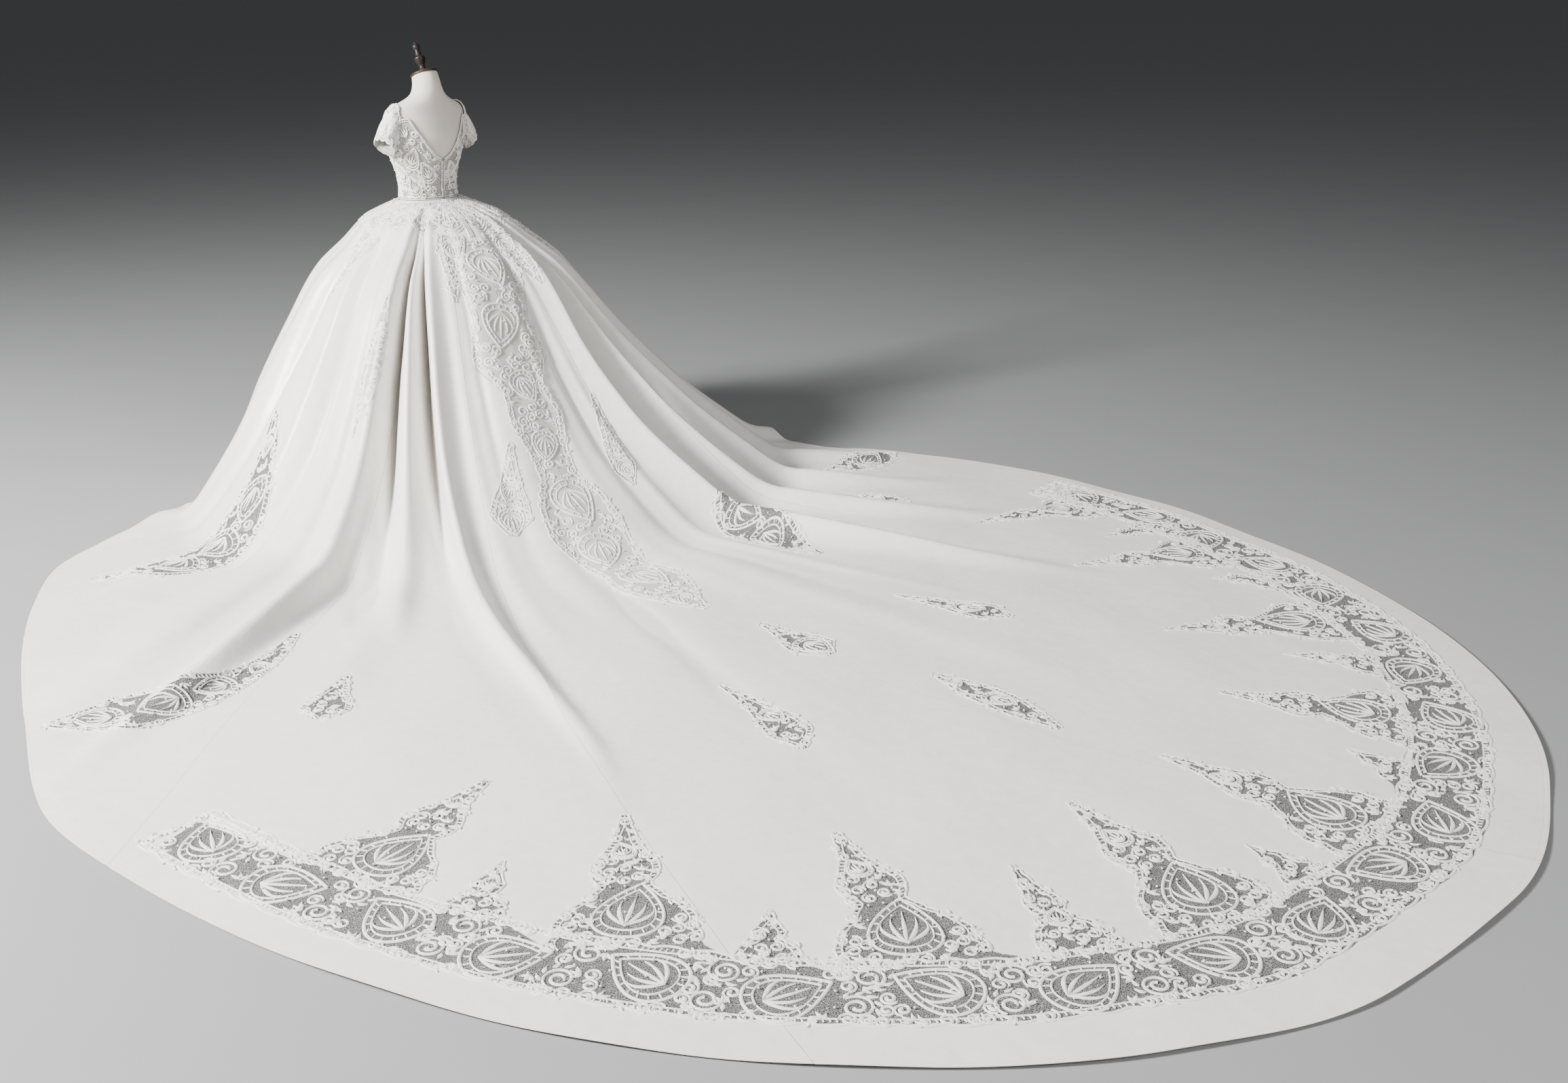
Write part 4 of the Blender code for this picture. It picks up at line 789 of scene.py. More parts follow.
def join(tree, socket, value):
    """Links a socket to a Wire, or sets it to a plain value."""
    if isinstance(value, Wire):
        tree.links.new(value.socket, socket)
    else:
        socket.default_value = value


class Finish:
    """A material and the nodes that vary it."""

    def __init__(self, name):
        self.material = bpy.data.materials.new(name)
        self.material.use_nodes = True
        self.tree = self.material.node_tree
        self.shader = self.tree.nodes["Principled BSDF"]
        self.place = self.node("ShaderNodeTexCoord", output="Object")

    def node(self, kind, values=None, output=0, stops=None, **settings):
        """Adds a node with its settings and the values or links of its sockets."""
        node = self.tree.nodes.new(kind)
        for key, value in settings.items():
            setattr(node, key, value)
        if stops:
            ramp = node.color_ramp
            while len(ramp.elements) < len(stops):
                ramp.elements.new(0.5)
            for element, (position, colour) in zip(ramp.elements, stops):
                element.position = position
                element.color = (*colour, 1.0)
        for key, value in (values or {}).items():
            join(self.tree, node.inputs[key], value)
        return Wire(self.tree, node.outputs[output])

    def noise(self, scale, detail=3.0, roughness=0.55, place=None):
        values = {"Vector": place or self.place, "Scale": scale, "Detail": detail}
        return self.node("ShaderNodeTexNoise", {**values, "Roughness": roughness}, "Fac")

    def net(self, scale, low, high):
        """1 on the threads of a net and 0 in its holes."""
        values = {"Vector": self.place, "Scale": scale}
        cells = self.node("ShaderNodeTexVoronoi", values, "Distance", feature="DISTANCE_TO_EDGE")
        return 1.0 - self.ramp(cells, low, high)

    def attribute(self, name):
        return self.node("ShaderNodeAttribute", {}, "Fac", attribute_name=name)

    def ramp(self, value, low, high):
        """0 below low, 1 above high, smooth between them."""
        values = {"Value": value, 1: low, 2: high, 3: 0.0, 4: 1.0}
        return self.node("ShaderNodeMapRange", values, interpolation_type="SMOOTHSTEP")

    def mix(self, share, a, b):
        values = {0: share, 6: a, 7: b}
        return self.node("ShaderNodeMix", values, 2, data_type="RGBA")

    def bump(self, height, strength, distance):
        values = {"Height": height, "Strength": strength, "Distance": distance}
        return self.node("ShaderNodeBump", values)

    def set(self, **sockets):
        for key, value in sockets.items():
            join(self.tree, self.shader.inputs[key.replace("_", " ")], value)
        return self.material


IVORY = (0.86, 0.83, 0.785, 1.0)
IVORY_SHADE = (0.82, 0.788, 0.742, 1.0)
NET_WHITE = (0.40, 0.385, 0.365, 1.0)
# Painted shade: the holes of the sheer net are painted near black to stand for the shadowed floor
# seen through the net.
NET_HOLE_PAINTED_SHADE = (0.060, 0.058, 0.056, 1.0)
LAID_GROUND = (0.50, 0.48, 0.44, 1.0)
LACE_WHITE = (0.87, 0.845, 0.80, 1.0)
LACE_SHADE = (0.79, 0.76, 0.71, 1.0)
LINING = (0.35, 0.325, 0.29, 1.0)
LINING_SHADE = (0.29, 0.27, 0.24, 1.0)
CREAM = (0.70, 0.64, 0.57, 1.0)
CREAM_SHADE = (0.65, 0.585, 0.515, 1.0)
CAP_BROWN = (0.050, 0.023, 0.015, 1.0)
CAP_SHADE = (0.028, 0.013, 0.009, 1.0)
BLACK_BROWN = (0.018, 0.011, 0.009, 1.0)
BLACK_SHADE = (0.008, 0.006, 0.005, 1.0)


def satin_finish():
    """Ivory satin, with sheer net where lace is let in, its holes painted dark as painted shade of
    the floor beneath, and a net ground under laid lace.
    """
    cloth = Finish("ivory satin of the gown")
    crumple = cloth.noise(7.0, 4.0, 0.5)
    streak = cloth.noise(26.0, 3.0)
    weave = cloth.noise(900.0, 1.0)
    sheer = cloth.ramp(cloth.attribute("sheer"), -0.0015, 0.0015)
    laid = cloth.ramp(cloth.attribute("laid"), -0.001, 0.003)
    seam = 1.0 - cloth.ramp(cloth.attribute("seam"), 0.0004, 0.0018)
    edge = cloth.attribute("hem")
    stitched = cloth.ramp(edge, 0.010, 0.012) * (1.0 - cloth.ramp(edge, 0.013, 0.015))
    thread = cloth.net(210.0, 0.02, 0.10)
    colour = cloth.mix(cloth.ramp(streak, 0.35, 0.75), IVORY, IVORY_SHADE)
    colour = cloth.mix(laid * 0.85, colour, LAID_GROUND)
    # The holes of the sheer net take the painted shade colour, and its threads keep the net's own
    # grey-white.
    colour = cloth.mix(sheer, colour, cloth.mix(thread, NET_HOLE_PAINTED_SHADE, NET_WHITE))
    colour = cloth.mix(seam * 0.35, colour, (0.42, 0.40, 0.37, 1.0))
    height = crumple * 0.7 + streak * 0.16 - seam * 0.10 - stitched * 0.05 + weave * 0.006
    rough = 0.31 + streak * 0.08 + sheer * 0.28 + laid * 0.2 + weave * 0.04
    return cloth.set(
        Base_Color=colour,
        Roughness=rough,
        Alpha=1.0 - sheer * (0.42 - thread * 0.30),
        Specular_IOR_Level=0.55,
        Sheen_Weight=0.10,
        Sheen_Roughness=0.45,
        Normal=cloth.bump(height, 0.55, 0.010),
    )


def lace_finish():
    """Twisted white thread, a little matte, with darker hollows."""
    thread = Finish("raised lace cord")
    strands = thread.noise(520.0, 2.0)
    tone = thread.noise(40.0, 2.0)
    colour = thread.mix(thread.ramp(tone, 0.35, 0.7), LACE_WHITE, LACE_SHADE)
    return thread.set(
        Base_Color=colour,
        Roughness=0.56 + strands * 0.18,
        Sheen_Weight=0.3,
        Sheen_Roughness=0.4,
        Normal=thread.bump(strands, 0.5, 0.0012),
    )


def bodice_finish():
    """The net ground of the bodice over its lining."""
    cloth = Finish("bodice net over lining")
    thread = cloth.net(420.0, 0.03, 0.16)
    soft = cloth.noise(30.0)
    seam = 1.0 - cloth.ramp(cloth.attribute("seam"), 0.0006, 0.0018)
    ground = cloth.mix(cloth.ramp(soft, 0.3, 0.7), LINING, LINING_SHADE)
    colour = cloth.mix(thread * 0.25, ground, LACE_WHITE)
    colour = cloth.mix(seam * 0.5, colour, (0.38, 0.36, 0.33, 1.0))
    return cloth.set(
        Base_Color=colour,
        Roughness=0.62 + thread * 0.12,
        Sheen_Weight=0.2,
        Sheen_Roughness=0.45,
        Normal=cloth.bump(thread * 0.4 + soft * 0.3 - seam * 0.5, 0.5, 0.002),
    )


def bead_finish():
    bead = Finish("pearl bead")
    tint = bead.noise(160.0, 1.0)
    colour = bead.mix(tint, (0.90, 0.88, 0.85, 1.0), (0.82, 0.80, 0.80, 1.0))
    return bead.set(
        Base_Color=colour, Roughness=0.16 + tint * 0.1, Coat_Weight=0.6, Coat_Roughness=0.08
    )


def form_finish():
    """Matte knitted cover in cream."""
    cover = Finish("cream form cover")
    knit = cover.noise(1400.0, 1.0)
    patch = cover.noise(11.0, 3.0)
    colour = cover.mix(cover.ramp(patch, 0.3, 0.7), CREAM, CREAM_SHADE)
    return cover.set(
        Base_Color=colour,
        Roughness=0.82 + knit * 0.1,
        Sheen_Weight=0.25,
        Sheen_Roughness=0.6,
        Normal=cover.bump(knit * 0.4 + patch * 0.2, 0.35, 0.0008),
    )


def wood_finish(name, light, dark, roughness):
    """Turned and lacquered wood with fine rings of grain."""
    wood = Finish(name)
    stretched = wood.node(
        "ShaderNodeMapping", {"Vector": wood.place, "Scale": (1.0, 1.0, 0.16)}
    )
    grain = wood.noise(95.0, 5.0, 0.6, stretched)
    pores = wood.noise(700.0, 2.0, 0.5, stretched)
    colour = wood.mix(wood.ramp(grain, 0.32, 0.68), light, dark)
    return wood.set(
        Base_Color=colour,
        Roughness=roughness + pores * 0.08,
        Specular_IOR_Level=0.30,
        Coat_Weight=0.06,
        Coat_Roughness=0.20,
        Normal=wood.bump(pores, 0.12, 0.0006),
    )


satin = satin_finish()
lace = lace_finish()
bodice_net = bodice_finish()
pearl = bead_finish()
cover = form_finish()
red_wood = wood_finish("red-brown lacquered wood", CAP_BROWN, CAP_SHADE, 0.50)
dark_wood = wood_finish("near-black lacquered wood", BLACK_BROWN, BLACK_SHADE, 0.44)


def dress(made, finish, slot_name, *nodes):
    """Gives a piece its finish and its place in the object."""
    made.data.materials.append(finish)
    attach(made, "root")
    if nodes:
        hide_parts(*nodes)


def lay_lace(name, strokes, surface, slot_name, *nodes):
    dress(lay_strokes(name, strokes, surface), lace, slot_name, *nodes)


# The satin gores.

sheer_rings = [border_outline()] + [motif_outline(motif) for motif in INSETS]
laid_rings = [spine_outline()] + [motif_outline(motif) for motif in APPLIQUES]
MASK_REACH = 0.05


def seam_direction(gore, radius):
    return gore.angle + gore.drift * np.maximum(0.0, radius - SEAM_DRIFT_START)


def yoke_depth(points):
    """Distance inside the scalloped edge of the hip lace."""
    angle, radius = polar(points)
    swing = np.abs(np.sin(np.radians(angle) * YOKE_SCALLOPS / 2.0))
    return YOKE_RADIUS - YOKE_SCALLOP + 2.0 * YOKE_SCALLOP * swing - radius


def gore_plan(index, gore):
    """Plan places of a gore's grid, from the waist down to the hem."""
    after = GORES[(index + 1) % len(GORES)]
    across = np.linspace(0.0, 1.0, gore.columns + 1)[None, :]
    down = (np.linspace(0.0, 1.0, gore.rows + 1) ** ROW_CROWDING)[:, None]
    span = (after.angle - gore.angle) % 360.0
    angle = gore.angle + span * across + 0.0 * down
    for _ in range(4):
        turned = turn_between(angle, 0.0)
        radius = waist_radius(turned) + (hem_radius(turned) - waist_radius(turned)) * down
        low = seam_direction(gore, radius)
        high = seam_direction(after, radius)
        angle = low + ((high - low) % 360.0) * across
    return angle, radius, across


def make_gore(index, gore):
    angle, radius, across = gore_plan(index, gore)
    places = plan(angle, radius).reshape(-1, 2)
    points, normals = skirt_surface(places)
    made = grid_mesh("gown_" + gore.name, gore.columns, gore.rows, points)
    turn_outward(made, normals)
    sheer = np.max([inner_distance(places, ring, MASK_REACH) for ring in sheer_rings], axis=0)
    laid = np.max([inner_distance(places, ring, MASK_REACH) for ring in laid_rings], axis=0)
    laid = np.maximum(laid, np.clip(yoke_depth(places), -MASK_REACH, MASK_REACH))
    after = GORES[(index + 1) % len(GORES)]
    span = np.radians((after.angle - gore.angle) % 360.0) * radius
    seam = np.minimum(across, 1.0 - across) * span
    hem = hem_radius(turn_between(angle, 0.0)) - radius
    for name, values in (("sheer", sheer), ("laid", laid), ("seam", seam), ("hem", hem)):
        paint(made, name, values.ravel())
    grid = points.reshape(gore.rows + 1, gore.columns + 1, 3)
    length = np.linalg.norm(np.diff(grid, axis=0), axis=2).sum(axis=0).max()
    area = mesh_area(made)
    width = WEDGE_SHARE * area / length
    wall(made, SATIN_WALL)
    dress(made, satin, "ivory_satin", gore.name, *GORE_COVERS.get(gore.name, ()))


# Lace on the skirt.


def meridian(angle):
    """Distance down the cloth from the waist, by radius, at this direction."""
    radii = np.linspace(float(waist_radius(np.array(angle))), 1.85, 400)
    points, _ = skirt_surface(plan(np.full_like(radii, angle), radii))
    steps = np.linalg.norm(np.diff(points, axis=0), axis=1)
    return radii, np.concatenate([[0.0], np.cumsum(steps)])


class Drape:
    """Ground for lace on the bell: distance down the cloth, and round it from a line."""

    def __init__(self, angle):
        self.angle = angle
        self.radii, self.down = meridian(angle)

    def radius(self, down):
        return np.interp(down, self.down, self.radii)

    def depth(self, radius):
        return float(np.interp(radius, self.radii, self.down))

    def surface(self, rows):
        radius = self.radius(rows[:, 0])
        angle = self.angle + np.degrees(rows[:, 1] / radius)
        return skirt_surface(plan(angle, radius))


class Medallion:
    """A teardrop of lace: where its middle is, which way its point looks, and its sizes."""

    def __init__(self, centre, heading, length, width):
        self.centre = np.asarray(centre, float)
        self.heading = heading
        self.length = length
        self.width = width

    def place(self, local):
        c, s = math.cos(self.heading), math.sin(self.heading)
        x = self.centre[0] + local[:, 0] * c - local[:, 1] * s
        y = self.centre[1] + local[:, 0] * s + local[:, 1] * c
        return np.stack([x, y], axis=1)

    def covers(self, spot):
        gap = np.asarray(spot) - self.centre
        c, s = math.cos(self.heading), math.sin(self.heading)
        along = (gap[0] * c + gap[1] * s) / (0.55 * self.length)
        out = (gap[1] * c - gap[0] * s) / (0.57 * self.width)
        return along * along + out * out < 1.0

    def rim(self, scale, count=40):
        turn = np.linspace(0.0, 2.0 * math.pi, count)
        x = 0.5 * self.length * scale * np.cos(turn)
        y = 0.5 * self.width * scale * np.sin(turn) * np.sin(turn / 2.0) * 1.25
        return np.stack([x, y], axis=1)

    def strokes(self, bold):
        """Its rims, the ladder between them, and a fan of leaves inside."""
        outer, inner = self.rim(1.0), self.rim(0.76)
        found = [
            even(self.place(outer), CORD * 1.15 * bold, 1.3),
            even(self.place(inner), FINE_CORD * bold, 1.0),
        ]
        for k in range(3, 37, 2):
            run = np.linspace(outer[k] * 0.95, inner[k] * 1.04, 3)
            found.append(even(self.place(run), RUNG * bold, 0.8))
        share = np.linspace(0.0, 1.0, 8)
        root = -0.30 * self.length
        for lean in (-1.0, -0.55, 0.0, 0.55, 1.0):
            reach = 0.56 * self.length * (1.0 - 0.38 * abs(lean))
            x = root + reach * share
            y = lean * 0.31 * self.width * np.sin(share * math.pi * 0.60)
            found.append(leaf(self.place(pair(x, y)), 0.050 * self.width + 0.0025))
        return found


def volute_strokes(spot, size, begin, hand, bold):
    """A large volute with a row of small leaves round its back."""
    share = np.linspace(0.0, 1.0, 30)
    curl = spin(size * (1.0 - 0.80 * share), begin + hand * share * 3.6 * math.pi)
    found = [Stroke(spot + curl, CORD * bold * (0.9 + 0.4 * share), 1.3)]
    blade = np.linspace(0.0, 1.0, 6)
    for k in range(6):
        run = begin + hand * k * 0.62 + hand * 0.45 * blade
        reach = size * (1.02 + 0.38 * blade)
        found.append(leaf(spot + spin(reach, run), 0.0075 * bold, 1.0))
    return found


def filler_strokes(ground, pitch, bold, taken):
    """Small volutes, commas and buds that fill the strip between its larger shapes."""
    found = []
    curl = np.linspace(0.0, 1.0, 15)
    blade = np.linspace(0.0, 1.0, 7)
    for i, at in enumerate(np.arange(0.5 * pitch, ground.length - 0.3 * pitch, pitch)):
        reach = float(ground.width_at(at)) - 0.30 * pitch
        if reach < 0.0:
            continue
        count = 1 + round(2.1 * reach / pitch)
        for j, out in enumerate(np.linspace(-reach, reach, count) if count > 1 else [0.0]):
            wander = 0.22 * pitch * math.sin(i * 2.3 + j * 4.1)
            spot = ground.place(at + wander, out * (1.0 - 0.04 * math.cos(i + j)))
            if any(other.covers(spot) for other in taken):
                continue
            begin = 1.7 * i + 2.6 * j
            hand = 1.0 if (i + j) % 2 else -1.0
            kind = (2 * i + 3 * j) % 5
            if kind in (0, 2, 3):
                radius = 0.52 * pitch * (1.0 - 0.78 * curl)
                turn = begin + hand * curl * 2.9 * math.pi
                widths = CORD * bold * (0.85 + 0.5 * curl)
                found.append(Stroke(spot + spin(radius, turn), widths, 1.2))
            else:
                for spread in (-0.9, 0.0, 0.9):
                    turn = begin + spread + 0.5 * hand * blade
                    run = spin(0.62 * pitch * blade, turn)
                    found.append(leaf(spot + run, FROND * 0.8 * bold))
    return found


def motif_strokes(ground, pitch=0.034, bold=1.2, drop_pitch=0.16, drop_size=0.72):
    """Edge cords, teardrops along the middle and small scrolls between them."""
    taken = []
    starts = np.arange(0.55 * drop_pitch, ground.length - 0.3 * drop_pitch, drop_pitch)
    for k, at in enumerate(starts):
        half = float(ground.width_at(at))
        if half < 0.030:
            continue
        size = 2.0 * half * drop_size
        shift = 0.10 * half if k % 2 else -0.10 * half
        spot = ground.place(at, shift)
        nearby = ground.place(min(at + 0.01, ground.length), shift)
        heading = math.atan2(*(nearby - spot)[::-1]) + (0.25 if k % 2 else -0.25)
        taken.append(Medallion(spot, heading, min(size * 1.25, drop_pitch * 0.92), size))
    found = edge_strokes(ground, bold=bold)
    for medallion in taken:
        found += medallion.strokes(bold)
    return found + filler_strokes(ground, pitch, bold, taken)


def bead_places(ground, pitch=0.045):
    """Beads along the middle and out to the sides of a strip of lace."""
    found = []
    for at in np.arange(0.02, ground.length - 0.01, pitch):
        half = float(ground.width_at(at))
        found.append(ground.place(at, 0.0))
        if half > 0.03:
            found.append(ground.place(at, 0.52 * half))
            found.append(ground.place(at, -0.52 * half))
    return found


def make_border():
    """The band inside the hem and its spires, corded on the net."""
    strokes = []
    angles = np.linspace(BORDER_FROM, BORDER_TO, 240)
    band = Ground(
        plan(angles, border_outer(angles) - 0.5 * BORDER_DEPTH),
        np.full(len(angles), 0.5 * BORDER_DEPTH),
    )
    taken = []
    for k, at in enumerate(np.arange(BAND_START, band.length - 0.10, BAND_PITCH)):
        spot = band.place(at, -0.012 if k % 2 else 0.012)
        nearby = band.place(at + 0.01, 0.0) - band.place(at, 0.0)
        heading = math.atan2(nearby[1], nearby[0]) + (0.5 if k % 2 else math.pi - 0.5)
        taken.append(Medallion(spot, heading, *BAND_DROP))
    for at in np.arange(BAND_START + 0.5 * BAND_PITCH, band.length - 0.15, BAND_PITCH):
        for side in (1.0, -1.0):
            spot = band.place(at + 0.012 * side, 0.047 * side)
            strokes += volute_strokes(spot, VOLUTE_SIZE, at * 7.0 + side, side, 1.4)
            taken.append(Medallion(spot, 0.0, VOLUTE_ROOM, VOLUTE_ROOM))
    strokes += edge_strokes(band, 0.009, 0.085, 1.5)
    for medallion in taken:
        if medallion.length > VOLUTE_ROOM:
            strokes += medallion.strokes(1.45)
    strokes += filler_strokes(band, 0.038, 1.35, taken)
    beads = bead_places(band, 0.075)
    for spire in SPIRES:
        foot, tip = spire_axis(spire)
        share = np.linspace(0.0, 1.0, 40)
        ground = Ground(foot + (tip - foot) * share[:, None], spire_half(spire, share))
        strokes += motif_strokes(ground, 0.034, 1.30, 0.24, 0.60)
        beads += bead_places(ground, 0.05)
    lay_lace("lace_border_cords", strokes, skirt_surface, "lace_on_tulle")
    return beads


def make_insets():
    strokes = []
    beads = []
    for motif in INSETS:
        ground = Ground(*motif_path(motif, 60))
        strokes += motif_strokes(ground)
        beads += bead_places(ground)
    lay_lace("lace_inset_cords", strokes, skirt_surface, "lace_on_tulle")
    return beads


def make_spine():
    """The long lace down the middle of the back."""
    drape = Drape(0.0)
    depths = np.array([drape.depth(row.radius) for row in SPINE])
    outs = np.array([math.radians(row.angle) * row.radius for row in SPINE])
    halves = np.array([row.width * LAID_GAIN / 2.0 for row in SPINE])
    down = np.linspace(depths[0], depths[-1], 160)
    path = np.stack([down, np.interp(down, depths, outs)], axis=1)
    ground = Ground(path, np.interp(down, depths, halves))
    strokes = motif_strokes(ground, 0.038, 1.35, 0.23, 0.62)
    slit = np.linspace(0.004, drape.depth(0.290), 50)
    for out, width in ((-0.0065, 0.0030), (0.0065, 0.0030), (0.0, 0.0016)):
        strokes.append(even(pair(slit, out), width, 1.5))
    lay_lace("lace_spine_cords", strokes, drape.surface, "corded_lace", "lace_spine")
    return drape.surface(np.array(bead_places(ground, 0.04)))


def make_appliques():
    """The smaller pieces of lace on the bell, each on its own ground."""
    found = []
    for motif in APPLIQUES:
        path, half = motif_path(motif, 40)
        angle, radius = polar(path)
        middle = float(angle[len(angle) // 2])
        drape = Drape(middle)
        depths = np.array([drape.depth(r) for r in radius])
        outs = np.radians(turn_between(angle, middle)) * radius
        ground = Ground(np.stack([depths, outs], axis=1), half)
        strokes = motif_strokes(ground, 0.030, 1.15, 0.12)
        lay_lace(motif.name + "_cords", strokes, drape.surface, "corded_lace", motif.name)
        found.append(drape.surface(np.array(bead_places(ground, 0.04))))
    return found


HIP_UNIT = 0.26


def yoke_surface(rows):
    """Rows are a distance round the hips and a distance down from the waist."""
    angle = rows[:, 0] * 100.0 / HIP_UNIT
    radius = waist_radius(angle) + rows[:, 1]
    return skirt_surface(plan(angle, radius))


def make_yoke():
    """The hip lace: scalloped edge cords, a fan in each scallop and cords at the waist."""
    strokes = []
    per_degree = HIP_UNIT / 100.0
    turns = np.linspace(-180.0, 180.0, 481)
    swing = np.abs(np.sin(np.radians(turns) * YOKE_SCALLOPS / 2.0))
    edge = YOKE_RADIUS - YOKE_SCALLOP + 2.0 * YOKE_SCALLOP * swing - waist_radius(turns)
    x = turns * per_degree
    for inset, width in ((0.004, CORD), (0.014, FINE_CORD)):
        strokes.append(even(pair(x, edge - inset), width, 1.0))
    for depth in (0.004, 0.014):
        strokes.append(even(pair(x, depth), FINE_CORD, 1.0))
    beads = []
    step = 360.0 / YOKE_SCALLOPS
    share = np.linspace(0.0, 1.0, 8)
    for k in range(YOKE_SCALLOPS):
        centre = -180.0 + step * (k + 0.5)
        root = np.array([centre * per_degree, 0.022])
        for lean in (-0.8, -0.4, 0.0, 0.4, 0.8):
            tip_x = (centre + lean * step * 0.55) * per_degree
            full = float(np.interp(centre, turns, edge)) - 0.045
            depth = 0.022 + full * (1.0 - 0.14 * abs(lean)) * share
            bow = root[0] + (tip_x - root[0]) * np.sin(share * math.pi / 2.0)
            strokes.append(leaf(pair(bow, depth), 0.008))
        side = np.array([(centre + 0.5 * step) * per_degree, 0.065])
        strokes += paisley_strokes(side, 0.060, 1.57)
        beads.append(root)
        beads.append(side)
    ends = np.linspace(-179.0, 179.0, 160) * per_degree
    depth = np.interp(ends, x, edge)
    belt = Ground(pair(ends, 0.5 * depth + 0.006), 0.5 * depth - 0.014)
    strokes += filler_strokes(belt, 0.025, 0.95, [])
    nodes = ("yoke_back", "yoke_left", "yoke_right", "yoke_front")
    lay_lace("lace_yoke_cords", strokes, yoke_surface, "corded_lace", *nodes)
    return yoke_surface(np.array(beads))


# The form and the bodice. The body's own directions are left, back and up.

TorsoRow = namedtuple("TorsoRow", "height half_width half_depth back tilt")
TORSO = table(
    TorsoRow,
    (0.880, 0.128, 0.098, 0.000, 0.0), (0.950, 0.140, 0.106, 0.000, 0.0),
    (1.020, 0.131, 0.100, 0.000, 0.0), (1.085, 0.1105, 0.0865, 0.000, 0.0),
    (1.130, 0.1040, 0.0840, 0.000, 0.0), (1.180, 0.1105, 0.0880, 0.000, 0.0),
    (1.225, 0.1260, 0.0960, 0.001, 0.0), (1.265, 0.1400, 0.1040, 0.002, 0.0),
    (1.300, 0.1500, 0.1060, 0.004, 0.0), (1.335, 0.1570, 0.0990, 0.008, 0.0),
    (1.368, 0.1600, 0.0880, 0.014, 0.0), (1.395, 0.1560, 0.0760, 0.020, 0.0),
    (1.415, 0.1390, 0.0660, 0.026, 0.0), (1.432, 0.1050, 0.0590, 0.031, 0.0),
    (1.446, 0.0780, 0.0545, 0.035, 3.0), (1.464, 0.0600, 0.0520, 0.038, 7.0),
    (1.490, 0.0510, 0.0490, 0.037, 14.0), (1.520, 0.0465, 0.0460, 0.031, 22.0),
)
half_width_at = Curve(TORSO, "height", "half_width")
half_depth_at = Curve(TORSO, "height", "half_depth")
back_at = Curve(TORSO, "height", "back")
tilt_at = Curve(TORSO, "height", "tilt")
BODICE_OUT = 0.0032
BODICE_BOTTOM = WAIST_HEIGHT + 0.0035
BODICE_GIRTH = 0.125

NeckRow = namedtuple("NeckRow", "angle height")
NECKLINE = table(
    NeckRow,
    (0, 1.234), (12, 1.248), (24, 1.284), (36, 1.336), (48, 1.380), (60, 1.376),
    (72, 1.322), (84, 1.282), (96, 1.280), (108, 1.318), (120, 1.370), (132, 1.372),
    (144, 1.335), (156, 1.300), (168, 1.278), (180, 1.268),
)
neck_curve = Curve(NECKLINE, "angle", "height", True)
PANEL_SEAMS = (0.0, 36.0, 96.0, 144.0, 216.0, 264.0, 324.0, 360.0)


def from_body(left, back, height):
    c, s = math.cos(BODY_TURN), math.sin(BODY_TURN)
    x = BODY_CENTRE[0] + left * c - back * s
    y = BODY_CENTRE[1] + left * s + back * c
    return np.stack([x, y, height], axis=-1)


def torso_point(angle, height, out=0.0):
    """A point on the form, or out from it, at this direction from the back."""
    turn = np.radians(angle)
    left = (half_width_at(height) + out) * np.sin(turn)
    depth = (half_depth_at(height) + out) * np.cos(turn)
    lean = np.radians(tilt_at(height))
    return from_body(left, back_at(height) + depth * np.cos(lean), height + depth * np.sin(lean))


def torso_surface(angle, height, out):
    """Points over the form with their outward ways."""
    here = torso_point(angle, height, out)
    across = torso_point(angle + 0.5, height, out) - here
    up = torso_point(angle, height + 0.002, out) - here
    return here, unit(np.cross(up, across))


def make_form():
    """The torso as a smooth, closed shell, which the dress is pulled over."""
    columns, rows = 96, 110
    turns = np.linspace(-180.0, 180.0, columns + 1)[None, :]
    heights = np.linspace(TORSO[0].height, TORSO[-1].height, rows + 1)[:, None]
    angle = (turns + 0.0 * heights).ravel()
    height = (heights + 0.0 * turns).ravel()
    points, normals = torso_surface(angle, height, 0.0)
    made = grid_mesh("form_body", columns, rows, points)
    turn_outward(made, normals)
    bm = bmesh.new()
    bm.from_mesh(made.data)
    bmesh.ops.remove_doubles(bm, verts=bm.verts, dist=1e-6)
    bmesh.ops.holes_fill(bm, edges=bm.edges, sides=0)
    bmesh.ops.recalc_face_normals(bm, faces=bm.faces)
    bm.to_mesh(made.data)
    bm.free()
    made.data.shade_smooth()
    made.data.set_sharp_from_angle(angle=math.radians(50.0))
    dress(made, cover, "form_cover", "form_torso")


def bodice_rows(rows):
    """Rows are a distance round the body from the centre of the back, and a height."""
    angle = np.degrees(rows[:, 0] / BODICE_GIRTH)
    return torso_surface(angle, rows[:, 1], BODICE_OUT + 0.0012)


def make_bodice():
    """The fitted net ground of the bodice, in one piece that opens at the back."""
    columns, rows = 180, 44
    turns = np.linspace(0.6, 359.4, columns + 1)[None, :]
    share = np.linspace(0.0, 1.0, rows + 1)[:, None]
    folded = np.abs(turn_between(turns, 0.0))
    top = neck_curve(folded)
    angle = turns + 0.0 * share
    height = BODICE_BOTTOM + (top - BODICE_BOTTOM) * share
    points, normals = torso_surface(angle.ravel(), height.ravel(), BODICE_OUT)
    made = grid_mesh("bodice_ground", columns, rows, points)
    turn_outward(made, normals)
    gaps = np.min([np.abs(turn_between(angle, seam)) for seam in PANEL_SEAMS[1:-1]], axis=0)
    paint(made, "seam", (np.radians(gaps) * BODICE_GIRTH).ravel())
    wall(made, BODICE_WALL)
    nodes = [
        "bodice_back_left", "bodice_side_back_left", "bodice_side_front_left", "bodice_front",
        "bodice_side_front_right", "bodice_side_back_right", "bodice_back_right",
    ]
    dress(made, bodice_net, "corded_lace", *nodes)


